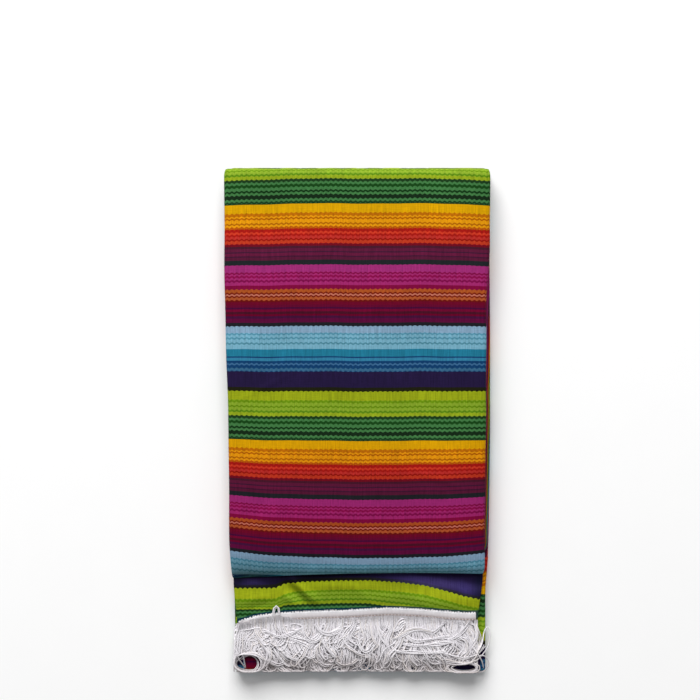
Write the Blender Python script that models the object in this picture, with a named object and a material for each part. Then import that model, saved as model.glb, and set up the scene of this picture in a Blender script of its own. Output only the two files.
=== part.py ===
"""A striped serape poncho, folded into a long flat bundle with its fringed hem on top.

The bundle lies on its flat underside. +X runs across it, +Y along it towards the upper
fold, +Z up. Sizes are in millimetres and become metres when a mesh is made. Pieces are
first laid out on a level stack, and settle() then lets the stack sag and thin out.
"""
import math

import bmesh
import bpy
from mathutils import Vector

MM = 0.001

# Folded size of the bundle
HALF_WIDTH = 94.8
HALF_LENGTH = 180.0

# Cloth
WALL = 1.4            # one stretch of cloth that shows
GAP = 0.35            # air between pieces that lie on each other
GROOVE = 0.9          # depth of the grooves between folded layers
LOWER_CORNER = 4.0    # corner radius of the lower layers, seen from above
UPPER_CORNER = 10.0
PANEL_CORNER = 0.8    # how far the panel's corners pull in where it turns over
CORNER_ANGLES = (0.0, 35.0, 60.0, 90.0)   # where a round corner has its points

# Heights on the level stack
SHELF_TOP = 8.4       # layers that reach the fringe end
LOWER_TOP = 10.8      # whole lower bundle
FOLD_INNER = 4.0      # inner radius of the panel's two end folds
FOLD_CENTRE_Z = 17.65

FOLD_OUTER = FOLD_INNER + WALL
CORE_ROUND = FOLD_INNER - GAP
CORE_TOP = FOLD_CENTRE_Z + CORE_ROUND
UNDER_TOP = SHELF_TOP + GAP + WALL   # upper face of the longest layer
TUCK_LENGTH = 6.0     # cloth turned in under each end fold
CORE_EASE = 0.12      # extra air between the layers and the inside of an end fold
LEVEL_EASE = 0.1      # heights closer than this are one level

# Places along the bundle
PANEL_LOW_Y = -110.0  # lower fold of the upper bundle
PANEL_HIGH_Y = 178.4
NECK_LOW_Y = -97.6    # where the upper bundle grows out of the lower one
NECK_HIGH_Y = 166.6
LOW_FOLD_SLANT = 0.02  # the lower fold climbs this much to the right
LOW_FOLD_BOW = 2.5    # its middle is drawn up this much over its two corners
BOW_MIDDLE = 0.4      # share of the bow that lifts the middle, the rest lowers the corners
SLANT_FADE = (-60.0, -96.0)

# Side edges from the fringe end up: Y, X
UPPER_LEFT = (
    (-105.0, -89.8), (-85.0, -91.3), (-15.0, -91.7), (20.0, -92.5), (60.0, -93.9),
    (106.0, -94.8),
)
UPPER_RIGHT = ((-105.0, 89.6), (-60.0, 90.0), (0.0, 90.7), (88.0, 91.0), (120.0, 93.6))
LOWER_LEFT = ((-180.0, -87.4), (180.0, -92.4))
LOWER_RIGHT = ((-118.0, 91.2), (-100.0, 93.2), (-15.0, 94.5), (60.0, 94.5), (180.0, 93.6))
EDGE_EASE = 9.0       # length over which a side edge bends

# The panel's side edges, from the hem inwards: distance from the edge and drop
SIDE_HEM = ((0.0, 3.6), (0.0, 2.6), (0.45, 1.3), (1.4, 0.4), (3.0, 0.0))
SIDE_HEM_IN = ((1.4, 3.6), (1.4, 2.9), (1.65, 2.1), (2.2, 1.6), (3.0, 1.4))
HEM_AT_ENDS = 0.3     # share of the drop left where the panel turns over its ends
HEM_FADE = 14.0
FOLD_STEPS = 8        # steps round each end fold
PANEL_STEPS = 14      # steps along the panel between the folds
PANEL_CROWDING = 0.4  # how much these steps crowd towards the folds

# How the stack settles
END_SAG = ((-112.0, 0.0), (-140.0, 2.1), (-178.0, 3.1))   # along Y: place, drop
SIDE_SAG = 0.8
SIDE_SAG_REACH = 16.0
CROWN_SAG = 1.1       # extra drop of the upper bundle at its sides
CROWN_REACH = 26.0
DROOP = 5.1           # how much the upper bundle slopes down to its lower fold
LEFT_DROOP = 0.65     # share of it that is added at the left corner
LEFT_DROOP_X = (-20.0, -80.0)
DROOP_FROM_Y = -90.0
DROOP_FROM_Z = 14.0   # the fold keeps its place below this height

# Folded layers, bottom to top: thickness, inset of the left, right, lower and upper edge
LOWER_LAYERS = (
    (2.1, 1.4, 0.9, 0.2, 0.6),
    (2.1, 0.2, 0.3, 1.9, 0.0),
    (2.1, 0.9, 0.0, 1.9, 0.9),
    (2.1, 0.0, 0.5, 1.9, 0.3),
)
# Upper layers: thickness, inset of the left and right edge
UPPER_LAYERS = (
    (2.4, 1.1, 0.2),
    (1.6, 1.2, 0.6),
    (1.6, 0.4, 1.0),
    (2.4, 1.4, 0.3),
    (2.4, 0.5, 0.9),
    (2.5, 2.9, 2.9),
)
TOP_LAYER_INSET = 0.6  # how far the upper end of the layer next to the lower bundle is set in
UPPER_SUNK = 0.5      # the upper stack starts this deep inside the lower one, to fuse with it
BULGE = (0.3, 0.72)   # heights between which a layer's edge stands out, as shares of it
# Where the grids of the stack have their points: shares of the width, and Y
COLUMN_SHARES = (0.06, 0.14, 0.3, 0.5, 0.7, 0.86, 0.94)
STATION_PLACES = (-140.0, -112.0, -84.0, -50.0, -15.0, 20.0, 60.0, 90.0, 120.0, 150.0)

# The longest layer, turned down over the fringe end
UNDER_STATIONS = (-98.2, -105.0, -112.0, -121.0, -131.0, -140.0, -150.0, -160.0, -170.0)
UNDER_TURN = 3.0      # outer radius of the turn
UNDER_HEM_Z = 3.2     # how low it hangs
UNDER_INSETS = (0.8, 0.4)   # how far its left and right edges are set in
UNDER_CORNER = 0.35   # pull of its corners, as a share of their distance to the end

# End flap
FLAP_START_Y = -101.0
FLAP_LEFT = ((-141.0, -85.8), (-131.0, -87.6), (-117.0, -88.7), (-101.0, -88.9))
FLAP_RIGHT = ((-137.0, 85.2), (-128.0, 87.0), (-114.0, 89.0), (-101.0, 89.3))
FLAP_ROWS = 9
FLAP_COLUMNS = 22
# Swells and creases of the flap: X, Y, half width, half length, turn in degrees, height
FLAP_FORMS = (
    (-62.0, -124.0, 34.0, 11.0, 0.0, 1.5),
    (12.0, -123.0, 52.0, 10.0, -3.0, 2.0),
    (66.0, -124.0, 26.0, 9.0, -10.0, 1.0),
    (-38.0, -123.0, 5.0, 12.0, 30.0, -1.3),
)

SWELL_FALL = 1.6      # how fast a swell falls off from its middle
LYING = (-112.0, -120.0)     # the swells grow from 0 between these two places
OVER_STRIP = (-119.0, -129.0)   # where the flap climbs onto the hidden tape

# Hem tape with its fringe: top edge of the tape, X and Y
TAPE_LINE = (
    (-85.5, -143.4), (-73.4, -139.5), (-60.0, -137.5), (-40.6, -136.4), (-5.7, -135.2),
    (21.0, -133.6), (42.0, -134.4), (65.6, -136.4), (77.0, -137.2), (85.0, -137.0),
)
TAPE_SIDES = (-85.2, 84.7)
TAPE_EASE = 2.2       # steps over which the line bends
TAPE_STEP = 2.0       # one of these steps
TAPE_WIDTH = 5.7
TAPE_THICK = 1.25
TAPE_COLUMNS = 26
FLAP_UNDER_TAPE = 4.6  # cloth that reaches this far under the tape
LOW_STRIP_Y = -130.5
LOW_STRIP_SIDES = (-84.0, 84.0)
LOW_STRIP_WIDTH = 5.0
LOW_STRIP_THICK = 1.1
STRIP_EASE = 0.25     # extra air between the hidden tape and the flap over it

# Fringe locks
LOCK_HALF_WIDTH = 1.05
LOCK_HALF_HEIGHT = 0.75
LOCK_SIDES = 3
LOCK_RINGS = 8
LOCK_MARGIN = 1.5     # bare stretch at both ends of a tape
LOCK_ROOT = 0.9       # how deep a lock is sewn into its tape
LOCK_FREE = 0.6       # how far below the upper tape a lock starts to spread
LOCK_LEAVES = 1.6     # least length of a lock's straight root
LOCK_RISE = 14.0      # length over which it reaches its height in the pile
FRINGE_END_Y = -177.9
# Rows of locks: count, height over the cloth below, sway, wave length, phase, end curl
TOP_ROWS = (
    (32, 5.0, 3.4, 31.0, 0.4, 2.6),
    (32, 7.1, 4.6, 37.0, 2.1, -2.7),
)
LOW_ROWS = (
    (32, 1.2, 3.6, 34.0, 1.3, -2.5),
    (32, 3.1, 4.2, 29.0, 3.9, 2.7),
)
SPREAD = 0.03         # how much the fringe fans out by its ends
FRINGE_SIDES = (-89.0, 87.5)   # no lock strays further than this
SWAY_FADE = 12.0
LENGTH_WANDER = 3.0
LENGTH_TURN = 2.3     # how fast the lengths change from lock to lock
PILE_WAVE = 0.6       # how much the fringe's height varies from side to side
PILE_TURN = 0.05
SWAY_TURN = 0.012     # how the sway shifts from side to side
# The curled end of a lock: share of the curl, Y, Z
LOCK_CURL = ((0.55, -1.0, 0.2), (1.0, 0.5, 0.4))

# Base colours
WINE = (0.43, 0.02, 0.12)
DARK_WINE = (0.16, 0.07, 0.12)
BLUE = (0.05, 0.16, 0.30)
LIME = (0.30, 0.42, 0.02)
WHITE = (0.80, 0.78, 0.79)

CLOTH_ROUGH = 0.85
YARN_ROUGH = 0.45


def smooth(start, end, value):
    """Ease from 0 at start to 1 at end."""
    t = min(1.0, max(0.0, (value - start) / (end - start)))
    return t * t * (3.0 - 2.0 * t)


def along(table, value):
    """Read a value from rows of (place, value), with an even run between two rows."""
    rows = sorted(table)
    if value <= rows[0][0]:
        return rows[0][1]
    for (a, at_a), (b, at_b) in zip(rows, rows[1:]):
        if value <= b:
            return at_a + (at_b - at_a) * (value - a) / (b - a)
    return rows[-1][1]


def side_x(line, y):
    """X of a side edge at this Y, with soft bends at the rows of its table."""
    ends = along(line, y - EDGE_EASE) + along(line, y + EDGE_EASE)
    return 0.5 * along(line, y) + 0.25 * ends


def settle(x, y, z, upper=False):
    """Let a point of the level stack sag; upper marks points of the upper bundle."""
    drop = along(END_SAG, y)
    edge = max(0.0, abs(x) - (HALF_WIDTH - SIDE_SAG_REACH)) / SIDE_SAG_REACH
    drop += SIDE_SAG * edge * edge
    if upper:
        bow = LOW_FOLD_BOW * (BOW_MIDDLE - (x / HALF_WIDTH) ** 2)
        y += (LOW_FOLD_SLANT * x + bow) * smooth(SLANT_FADE[0], SLANT_FADE[1], y)
        rise = min(1.0, max(0.0, z - LOWER_TOP) / (CORE_TOP - LOWER_TOP))
        side = max(0.0, abs(x) - (HALF_WIDTH - CROWN_REACH)) / CROWN_REACH
        slope = max(0.0, DROOP_FROM_Y - y) / (DROOP_FROM_Y - PANEL_LOW_Y)
        high = min(1.0, max(0.0, z - DROOP_FROM_Z) / (CORE_TOP - DROOP_FROM_Z))
        droop = DROOP * (1.0 + LEFT_DROOP * smooth(*LEFT_DROOP_X, x))
        drop += CROWN_SAG * side * side * rise + droop * slope * slope * high
        return x, y, z - drop
    return x, y, z - drop * min(1.0, max(0.0, z / SHELF_TOP))


def make_object(name, points, faces, colour, roughness):
    """Make a named object with its own material from points in millimetres."""
    mesh = bpy.data.meshes.new(name)
    mesh.from_pydata([tuple(c * MM for c in p) for p in points], [], faces)
    build = bmesh.new()
    build.from_mesh(mesh)
    bmesh.ops.recalc_face_normals(build, faces=build.faces)
    build.to_mesh(mesh)
    build.free()
    obj = bpy.data.objects.new(name, mesh)
    bpy.context.scene.collection.objects.link(obj)
    material = bpy.data.materials.new(name)
    material.use_nodes = True
    shader = material.node_tree.nodes["Principled BSDF"]
    shader.inputs["Base Color"].default_value = (*colour, 1.0)
    shader.inputs["Roughness"].default_value = roughness
    shader.inputs["Metallic"].default_value = 0.0
    mesh.materials.append(material)
    mesh.shade_smooth()
    mesh.set_sharp_from_angle(angle=math.radians(50.0))
    return obj


def join_by_union(base, *others):
    """Fuse other closed objects into base."""
    for other in others:
        union = base.modifiers.new("union", "BOOLEAN")
        union.operation = "UNION"
        union.solver = "EXACT"
        union.object = other
        bpy.context.view_layer.update()
        graph = bpy.context.evaluated_depsgraph_get()
        fused = bpy.data.meshes.new_from_object(base.evaluated_get(graph))
        base.modifiers.clear()
        base.data = fused
        bpy.data.objects.remove(other)


def closed_wall(name, outer, inner, colour):
    """A cloth wall from two grids of points that face each other, closed all round."""
    rows, columns = len(outer), len(outer[0])
    points = [p for row in outer for p in row] + [p for row in inner for p in row]
    lower = rows * columns

    def at(row, column, side):
        return side * lower + row * columns + column

    faces = []
    for r in range(rows - 1):
        for c in range(columns - 1):
            quad = [(r, c), (r, c + 1), (r + 1, c + 1), (r + 1, c)]
            faces.append([at(*q, 0) for q in quad])
            faces.append([at(*q, 1) for q in reversed(quad)])
    for r in range(rows - 1):
        for c in (0, columns - 1):
            faces.append([at(r, c, 0), at(r + 1, c, 0), at(r + 1, c, 1), at(r, c, 1)])
    for c in range(columns - 1):
        for r in (0, rows - 1):
            faces.append([at(r, c, 0), at(r, c + 1, 0), at(r, c + 1, 1), at(r, c, 1)])
    return make_object(name, points, faces, colour, CLOTH_ROUGH)


def plate_grid(sides, low_y, high_y, insets, z, upper, radius):
    """One level of the folded layers: a grid whose rim is a rectangle with round corners."""
    grid = []
    left_inset, right_inset = insets
    corner = [radius * (1.0 - math.cos(math.radians(a))) for a in CORNER_ANGLES]
    places = [low_y + c for c in corner]
    places += [y for y in STATION_PLACES if low_y + radius < y < high_y - radius]
    places += [high_y - c for c in reversed(corner)]
    for y in places:
        bow = max(0.0, radius - min(y - low_y, high_y - y))
        cut = radius - math.sqrt(radius ** 2 - bow ** 2)
        left = side_x(sides[0], y) + left_inset + cut
        right = side_x(sides[1], y) - right_inset - cut
        grid.append([settle(left + (right - left) * share, y, z, upper)
                     for share in (0.0, *COLUMN_SHARES, 1.0)])
    return grid


def rim_of(grid):
    """The points round a grid, once round."""
    rim = list(grid[0])
    rim += [row[-1] for row in grid[1:]]
    rim += list(reversed(grid[-1][:-1]))
    rim += [row[0] for row in reversed(grid[1:-1])]
    return rim


def stacked_solid(name, grids, colour):
    """A solid from plate grids stacked from the bottom up, capped by the first and last."""
    points = []
    faces = []
    index = {}

    def number(point):
        if point not in index:
            index[point] = len(points)
            points.append(point)
        return index[point]

    for cap in (grids[0], grids[-1]):
        for low, high in zip(cap, cap[1:]):
            for c in range(len(low) - 1):
                faces.append([number(p) for p in (low[c], low[c + 1], high[c + 1], high[c])])
    for below, above in zip(grids, grids[1:]):
        rim_below, rim_above = rim_of(below), rim_of(above)
        count = len(rim_below)
        for k in range(count):
            n = (k + 1) % count
            faces.append([number(p) for p in
                          (rim_below[k], rim_below[n], rim_above[n], rim_above[k])])
    return make_object(name, points, faces, colour, CLOTH_ROUGH)


def layer_levels(bottom, thickness):
    """Heights through one rounded layer, each with its share of the groove's depth."""
    low, high = BULGE
    return ((bottom, 1.0), (bottom + low * thickness, 0.0), (bottom + high * thickness, 0.0))


def build_folded_layers():
    """The hidden layers of both bundles as one rounded solid, layered at its edges."""
    grids = []
    bottom = 0.0
    sides = (LOWER_LEFT, LOWER_RIGHT)
    for thickness, left, right, low, high in LOWER_LAYERS:
        for z, share in layer_levels(bottom, thickness):
            cut = GROOVE * share
            grids.append(plate_grid(sides, -HALF_LENGTH + low + cut, HALF_LENGTH - high - cut,
                                    (left + cut, right + cut), z, False, LOWER_CORNER))
        bottom += thickness
    grids.append(plate_grid(sides, -HALF_LENGTH + low + GROOVE, HALF_LENGTH - high - GROOVE,
                            (left + GROOVE, right + GROOVE), bottom, False, LOWER_CORNER))
    lower = stacked_solid("folded_layers", grids, DARK_WINE)

    grids = []
    bottom = SHELF_TOP - UPPER_SUNK
    for row, (thickness, left, right) in enumerate(UPPER_LAYERS):
        top_of_lower = row == 0
        outline = (LOWER_LEFT, LOWER_RIGHT) if top_of_lower else (UPPER_LEFT, UPPER_RIGHT)
        if top_of_lower:
            thickness += UPPER_SUNK
        for z, share in layer_levels(bottom, thickness):
            cut = GROOVE * share
            low_y, high_y = upper_ends(z, cut)
            grids.append(plate_grid(outline, low_y, high_y, (left + cut, right + cut), z,
                                    z > LOWER_TOP - LEVEL_EASE, UPPER_CORNER))
        bottom += thickness
    low_y, high_y = upper_ends(bottom, GROOVE)
    grids.append(plate_grid((UPPER_LEFT, UPPER_RIGHT), low_y, high_y,
                            (left + GROOVE, right + GROOVE), bottom, True, UPPER_CORNER))
    upper = stacked_solid("upper_layers", grids, DARK_WINE)
    join_by_union(lower, upper)
    return lower


def upper_ends(z, cut):
    """Where the upper stack ends along Y at this height, inside the panel's end folds."""
    if z < LOWER_TOP - LEVEL_EASE:
        return NECK_LOW_Y + cut, HALF_LENGTH - TOP_LAYER_INSET - cut
    off_centre = z - FOLD_CENTRE_Z
    if off_centre < LEVEL_EASE - CORE_ROUND:
        return NECK_LOW_Y, NECK_HIGH_Y
    bulge = math.sqrt(max(0.0, CORE_ROUND ** 2 - off_centre ** 2)) - CORE_EASE
    return PANEL_LOW_Y + FOLD_OUTER - bulge, PANEL_HIGH_Y - FOLD_OUTER + bulge


def panel_path():
    """Stations of the panel from one tucked end to the other.

    Each is a point on the outer face (Y, Z), the direction that faces out, and the share
    of the side hem's drop.
    """
    low_c = PANEL_LOW_Y + FOLD_OUTER
    high_c = PANEL_HIGH_Y - FOLD_OUTER
    stations = []
    for k in range(2):
        stations.append((low_c + TUCK_LENGTH * (1.0 - k / 2.0), -1.0, 0.0, HEM_AT_ENDS))
    for k in range(FOLD_STEPS + 1):
        angle = math.pi * k / FOLD_STEPS
        stations.append((low_c, -math.cos(angle), -math.sin(angle), HEM_AT_ENDS))
    places = []
    for k in range(1, PANEL_STEPS):
        eased = 0.5 - 0.5 * math.cos(math.pi * k / PANEL_STEPS)
        share = PANEL_CROWDING * eased + (1.0 - PANEL_CROWDING) * k / PANEL_STEPS
        places.append(low_c + (high_c - low_c) * share)
    for y in (0.5 * (low_c + places[0]), *places):
        near = min(y - low_c, high_c - y)
        share = HEM_AT_ENDS + (1.0 - HEM_AT_ENDS) * smooth(2.0, HEM_FADE, near)
        stations.append((y, 1.0, 0.0, share))
    for k in range(FOLD_STEPS + 1):
        angle = math.pi * k / FOLD_STEPS
        stations.append((high_c, math.cos(angle), math.sin(angle), HEM_AT_ENDS))
    for k in range(1, 3):
        stations.append((high_c - TUCK_LENGTH * k / 2.0, -1.0, 0.0, HEM_AT_ENDS))
    return stations


def build_top_panel():
    """The striped cloth over the upper bundle, turned in under both end folds."""
    outer, inner = [], []
    for y, up, out, share in panel_path():
        pulled = PANEL_CORNER * out * out
        left, right = side_x(UPPER_LEFT, y) + pulled, side_x(UPPER_RIGHT, y) - pulled
        hem = [(x, d * share) for x, d in SIDE_HEM]
        hem_in = [(x, WALL + (d - WALL) * share) for x, d in SIDE_HEM_IN]
        flat_x = [left + (right - left) * share for share in COLUMN_SHARES]
        columns = [(left + x, d) for x, d in hem] + [(x, 0.0) for x in flat_x]
        columns += [(right - x, d) for x, d in reversed(hem)]
        columns_in = [(left + x, d) for x, d in hem_in] + [(x, WALL) for x in flat_x]
        columns_in += [(right - x, d) for x, d in reversed(hem_in)]
        for grid, row in ((outer, columns), (inner, columns_in)):
            grid.append([settle(x, y + out * (FOLD_OUTER - d),
                                FOLD_CENTRE_Z + up * (FOLD_OUTER - d), True)
                         for x, d in row])
    return closed_wall("top_panel", outer, inner, WINE)


def build_under_layer():
    """The longest layer, which shows below the flap and turns down over the fringe end."""
    end = -HALF_LENGTH
    stations = [((y, UNDER_TOP), (y, UNDER_TOP - WALL)) for y in UNDER_STATIONS]
    for angle in CORNER_ANGLES:
        c, s = math.cos(math.radians(angle)), math.sin(math.radians(angle))
        centre_y, centre_z = end + UNDER_TURN, UNDER_TOP - UNDER_TURN
        inside = UNDER_TURN - WALL
        stations.append(((centre_y - UNDER_TURN * s, centre_z + UNDER_TURN * c),
                         (centre_y - inside * s, centre_z + inside * c)))
    stations.append(((end, UNDER_HEM_Z), (end + WALL, UNDER_HEM_Z)))
    outer, inner = [], []
    for (y_out, z_out), (y_in, z_in) in stations:
        for grid, y, z in ((outer, y_out, z_out), (inner, y_in, z_in)):
            pulled = UNDER_CORNER * max(0.0, LOWER_CORNER - (y - end))
            left = side_x(LOWER_LEFT, y) + UNDER_INSETS[0] + pulled
            right = side_x(LOWER_RIGHT, y) - UNDER_INSETS[1] - pulled
            grid.append([settle(left + (right - left) * share, y, z)
                         for share in (0.0, *COLUMN_SHARES, 1.0)])
    return closed_wall("under_layer", outer, inner, BLUE)


def flap_rise(x, y):
    """Height of the flap's swells and creases over the layer below it."""
    rise = 0.0
    for form_x, form_y, half_w, half_l, turn, height in FLAP_FORMS:
        a = math.radians(turn)
        across = ((x - form_x) * math.cos(a) + (y - form_y) * math.sin(a)) / half_w
        down = (-(x - form_x) * math.sin(a) + (y - form_y) * math.cos(a)) / half_l
        rise += height * math.exp(-(across * across + down * down) * SWELL_FALL)
    over_strip = smooth(*OVER_STRIP, y) * (LOW_STRIP_THICK + GAP + STRIP_EASE)
    return max(0.0, rise) * smooth(*LYING, y) + over_strip


def tape_y(x):
    """Y of the tape's top edge, eased between the rows of its table."""
    total, weight = 0.0, 0.0
    for k in range(-4, 5):
        w = math.exp(-(k / TAPE_EASE) ** 2)
        total += w * along(TAPE_LINE, x + TAPE_STEP * k)
        weight += w
    return total / weight


def build_end_flap():
    """The hem end of the cloth, from under the lower fold to the fringed tape."""
    bottom = UNDER_TOP + GAP
    widest = (FLAP_LEFT[-1][1], FLAP_RIGHT[-1][1])
    outer, inner = [], []
    for r in range(FLAP_ROWS + 1):
        row_out, row_in = [], []
        for c in range(FLAP_COLUMNS + 1):
            share = c / FLAP_COLUMNS
            end = tape_y(widest[0] + (widest[1] - widest[0]) * share) - FLAP_UNDER_TAPE
            y = FLAP_START_Y + (end - FLAP_START_Y) * r / FLAP_ROWS
            left, right = side_x(FLAP_LEFT, y), side_x(FLAP_RIGHT, y)
            x = left + (right - left) * share
            z = bottom + flap_rise(x, y)
            row_out.append(settle(x, y, z + WALL))
            row_in.append(settle(x, y, z))
        outer.append(row_out)
        inner.append(row_in)
    return closed_wall("end_flap", outer, inner, LIME)


def strip_solid(name, sides, line, width, thick, height_at):
    """A narrow tape: its top edge follows line(x) and its underside height_at(x, y)."""
    outer, inner = [], []
    left, right = sides
    for r in range(3):
        row_out, row_in = [], []
        for c in range(TAPE_COLUMNS + 1):
            x = left + (right - left) * c / TAPE_COLUMNS
            y = line(x) - width * r / 2.0
            z = height_at(x, y)
            row_out.append(settle(x, y, z + thick))
            row_in.append(settle(x, y, z))
        outer.append(row_out)
        inner.append(row_in)
    return closed_wall(name, outer, inner, WHITE)


def lock_tube(points, verts, faces):
    """Add one closed lock of yarn along its points."""
    start = len(verts)
    for k, point in enumerate(points):
        ahead = points[min(k + 1, len(points) - 1)]
        behind = points[max(k - 1, 0)]
        run = (Vector(ahead) - Vector(behind)).normalized()
        side = run.cross(Vector((0.0, 0.0, 1.0))).normalized()
        up = side.cross(run)
        for s in range(LOCK_SIDES):
            angle = 2.0 * math.pi * s / LOCK_SIDES + math.pi / 2.0
            verts.append(tuple(Vector(point) + LOCK_HALF_WIDTH * math.cos(angle) * side
                               + LOCK_HALF_HEIGHT * math.sin(angle) * up))
    for k in range(len(points) - 1):
        for s in range(LOCK_SIDES):
            n = (s + 1) % LOCK_SIDES
            a = start + k * LOCK_SIDES
            faces.append((a + s, a + n, a + LOCK_SIDES + n, a + LOCK_SIDES + s))
    faces.append(tuple(start + s for s in range(LOCK_SIDES)))
    last = start + (len(points) - 1) * LOCK_SIDES
    faces.append(tuple(last + s for s in range(LOCK_SIDES)))


def lock_route(x, root_y, root_z, row, number):
    """The way of one lock: straight out of its tape, swaying, curled at its end."""
    _, height, sway, wave, phase, curl = row
    end_y = FRINGE_END_Y + LENGTH_WANDER * (0.5 + 0.5 * math.sin(LENGTH_TURN * number + phase))
    free_y = tape_y(x) - TAPE_WIDTH - LOCK_FREE
    start_y = min(free_y, root_y - LOCK_LEAVES)
    phase += SWAY_TURN * x
    steps = LOCK_RINGS - len(LOCK_CURL) - 2
    points = []
    for y in (root_y, *(start_y + (end_y - start_y) * k / steps for k in range(steps + 1))):
        ease = smooth(free_y, free_y - LOCK_RISE, y)
        bend = math.sin(2.0 * math.pi * (root_y - y) / wave + phase) - math.sin(phase)
        spread_x = x * (1.0 + SPREAD * (root_y - y) / (root_y - end_y))
        left, right = FRINGE_SIDES
        room = min(1.0, (spread_x - left) / SWAY_FADE, (right - spread_x) / SWAY_FADE)
        z = root_z + (UNDER_TOP + height - root_z + PILE_WAVE * math.sin(PILE_TURN * x)) * ease
        points.append((spread_x + sway * room * ease * bend, y, z))
    tail_x, tail_y, tail_z = points[-1]
    for share, off_y, off_z in LOCK_CURL:
        points.append((tail_x + share * curl * room, tail_y + off_y, tail_z + off_z))
    return [settle(*p) for p in points]


def build_fringe(name, sides, line, width, thick, base_z, rows):
    """A tape with its fringe, the locks fused into the tape by their roots."""
    strip = strip_solid(name, sides, line, width, thick, base_z)
    verts, faces = [], []
    for shift, row in enumerate(rows):
        count = row[0]
        pitch = (sides[1] - sides[0] - 2.0 * LOCK_MARGIN) / count
        for k in range(count):
            x = sides[0] + LOCK_MARGIN + pitch * (k + 0.25 + 0.5 * shift)
            y = line(x) - width + LOCK_ROOT
            z = base_z(x, y) + 0.5 * thick
            lock_tube(lock_route(x, y, z, row, k), verts, faces)
    locks = make_object(name + "_locks", [tuple(v) for v in verts], faces, WHITE, YARN_ROUGH)
    join_by_union(strip, locks)
    return strip


def build_top_fringe():
    """The tape on the end flap with its fringe."""
    def height_at(x, y):
        return UNDER_TOP + 2.0 * GAP + WALL + flap_rise(x, y)

    return build_fringe("fringe", TAPE_SIDES, tape_y, TAPE_WIDTH, TAPE_THICK, height_at,
                        TOP_ROWS)


def build_lower_fringe():
    """The tape of the hem folded beneath the flap, with its fringe."""
    def line(x):
        return LOW_STRIP_Y

    def height_at(x, y):
        return UNDER_TOP + GAP

    return build_fringe("lower_fringe", LOW_STRIP_SIDES, line, LOW_STRIP_WIDTH,
                        LOW_STRIP_THICK, height_at, LOW_ROWS)


def main():
    """Clear the scene and build the folded serape."""
    for obj in list(bpy.data.objects):
        bpy.data.objects.remove(obj)
    build_folded_layers()
    build_under_layer()
    build_top_panel()
    build_end_flap()
    build_lower_fringe()
    build_top_fringe()


main()
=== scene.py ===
"""Looks of a folded serape: striped cloth, layered folds, braided tape and looped fringe."""

import logging
import math
from dataclasses import dataclass, field
from enum import Enum
from functools import reduce
from typing import Callable, Sequence, TypeVar

import bpy
import numpy as np
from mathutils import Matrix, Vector

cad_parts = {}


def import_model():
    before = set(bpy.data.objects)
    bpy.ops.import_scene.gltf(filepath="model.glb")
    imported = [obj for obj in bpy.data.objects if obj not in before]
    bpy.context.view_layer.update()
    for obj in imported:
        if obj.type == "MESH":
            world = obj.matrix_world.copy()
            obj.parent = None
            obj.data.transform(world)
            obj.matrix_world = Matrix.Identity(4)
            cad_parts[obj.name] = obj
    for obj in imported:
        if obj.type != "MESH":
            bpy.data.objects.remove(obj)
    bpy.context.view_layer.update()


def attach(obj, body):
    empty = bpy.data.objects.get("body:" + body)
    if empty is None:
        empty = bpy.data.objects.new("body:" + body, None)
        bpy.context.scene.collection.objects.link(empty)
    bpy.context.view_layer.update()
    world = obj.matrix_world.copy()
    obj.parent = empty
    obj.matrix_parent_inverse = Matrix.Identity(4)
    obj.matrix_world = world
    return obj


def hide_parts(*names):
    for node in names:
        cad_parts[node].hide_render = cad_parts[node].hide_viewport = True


LOG = logging.getLogger("serape")
MM = 0.001
CLOTH_MAP = "cloth"
HEM_MAP = "hem"
ROOT = "root"

TINY = 1e-9
TURN = 6.3          # a little over once round, for random phases
EDGE_PLAY = 0.1     # a height this far below the lower stack's top counts as on it
SWELL_FALL = 1.6
CREASE_BOW = 0.02
BUMP_STRENGTH = 0.8

Array = np.ndarray
Colour = tuple[float, float, float]
Socket = bpy.types.NodeSocket
Input = Socket | float | Colour
SideLine = tuple[tuple[float, float], ...]
Waves = tuple[tuple[float, float, float], ...]      # height, wave length and phase
Row = TypeVar("Row")


class Slot(Enum):
    """The record's material slots."""

    STRIPED = "striped_cloth"
    FOLDED = "folded_cloth"
    YARN = "fringe_yarn"


class Blend(Enum):
    """How a colour goes over another."""

    MIX = "MIX"
    ADD = "ADD"
    MULTIPLY = "MULTIPLY"


def rows_of(kind: Callable[..., Row], *rows: tuple) -> tuple[Row, ...]:
    """Objects of one kind, each from its row of a table."""
    return tuple(kind(*row) for row in rows)


def srgb(code: str) -> Colour:
    """Linear red, green and blue of a colour given as six hex digits."""
    parts = [int(code[i:i + 2], 16) / 255.0 for i in (0, 2, 4)]
    return tuple(p / 12.92 if p <= 0.04045 else ((p + 0.055) / 1.055) ** 2.4 for p in parts)


def ease(start: float, end: float, value: Array | float) -> Array:
    """Share of the way from start to end, which may lie below it, eased at both."""
    t = np.clip((np.asarray(value, float) - start) / (end - start), 0.0, 1.0)
    return t * t * (3.0 - 2.0 * t)


def ripple(x: Array, rows: Waves) -> Array:
    """Sum of sine waves at the places x."""
    return sum(h * np.sin(2.0 * np.pi * x / wave + phase) for h, wave, phase in rows)


def turned(x: Array, y: Array, middle: tuple[float, float], degrees: float,
           ) -> tuple[Array, Array]:
    """Places seen from a middle, along and across a turned line.

    Args:
        x: Places across.
        y: Places along.
        middle: X and Y of the middle.
        degrees: Turn of the line.

    Returns:
        How far along the line and how far off it each place is.
    """
    a = math.radians(degrees)
    x, y = x - middle[0], y - middle[1]
    return x * math.cos(a) + y * math.sin(a), -x * math.sin(a) + y * math.cos(a)


def unit(vectors: Array) -> Array:
    """The same directions with length 1, one in each row."""
    return vectors / (np.linalg.norm(vectors, axis=1)[:, None] + TINY)


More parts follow.
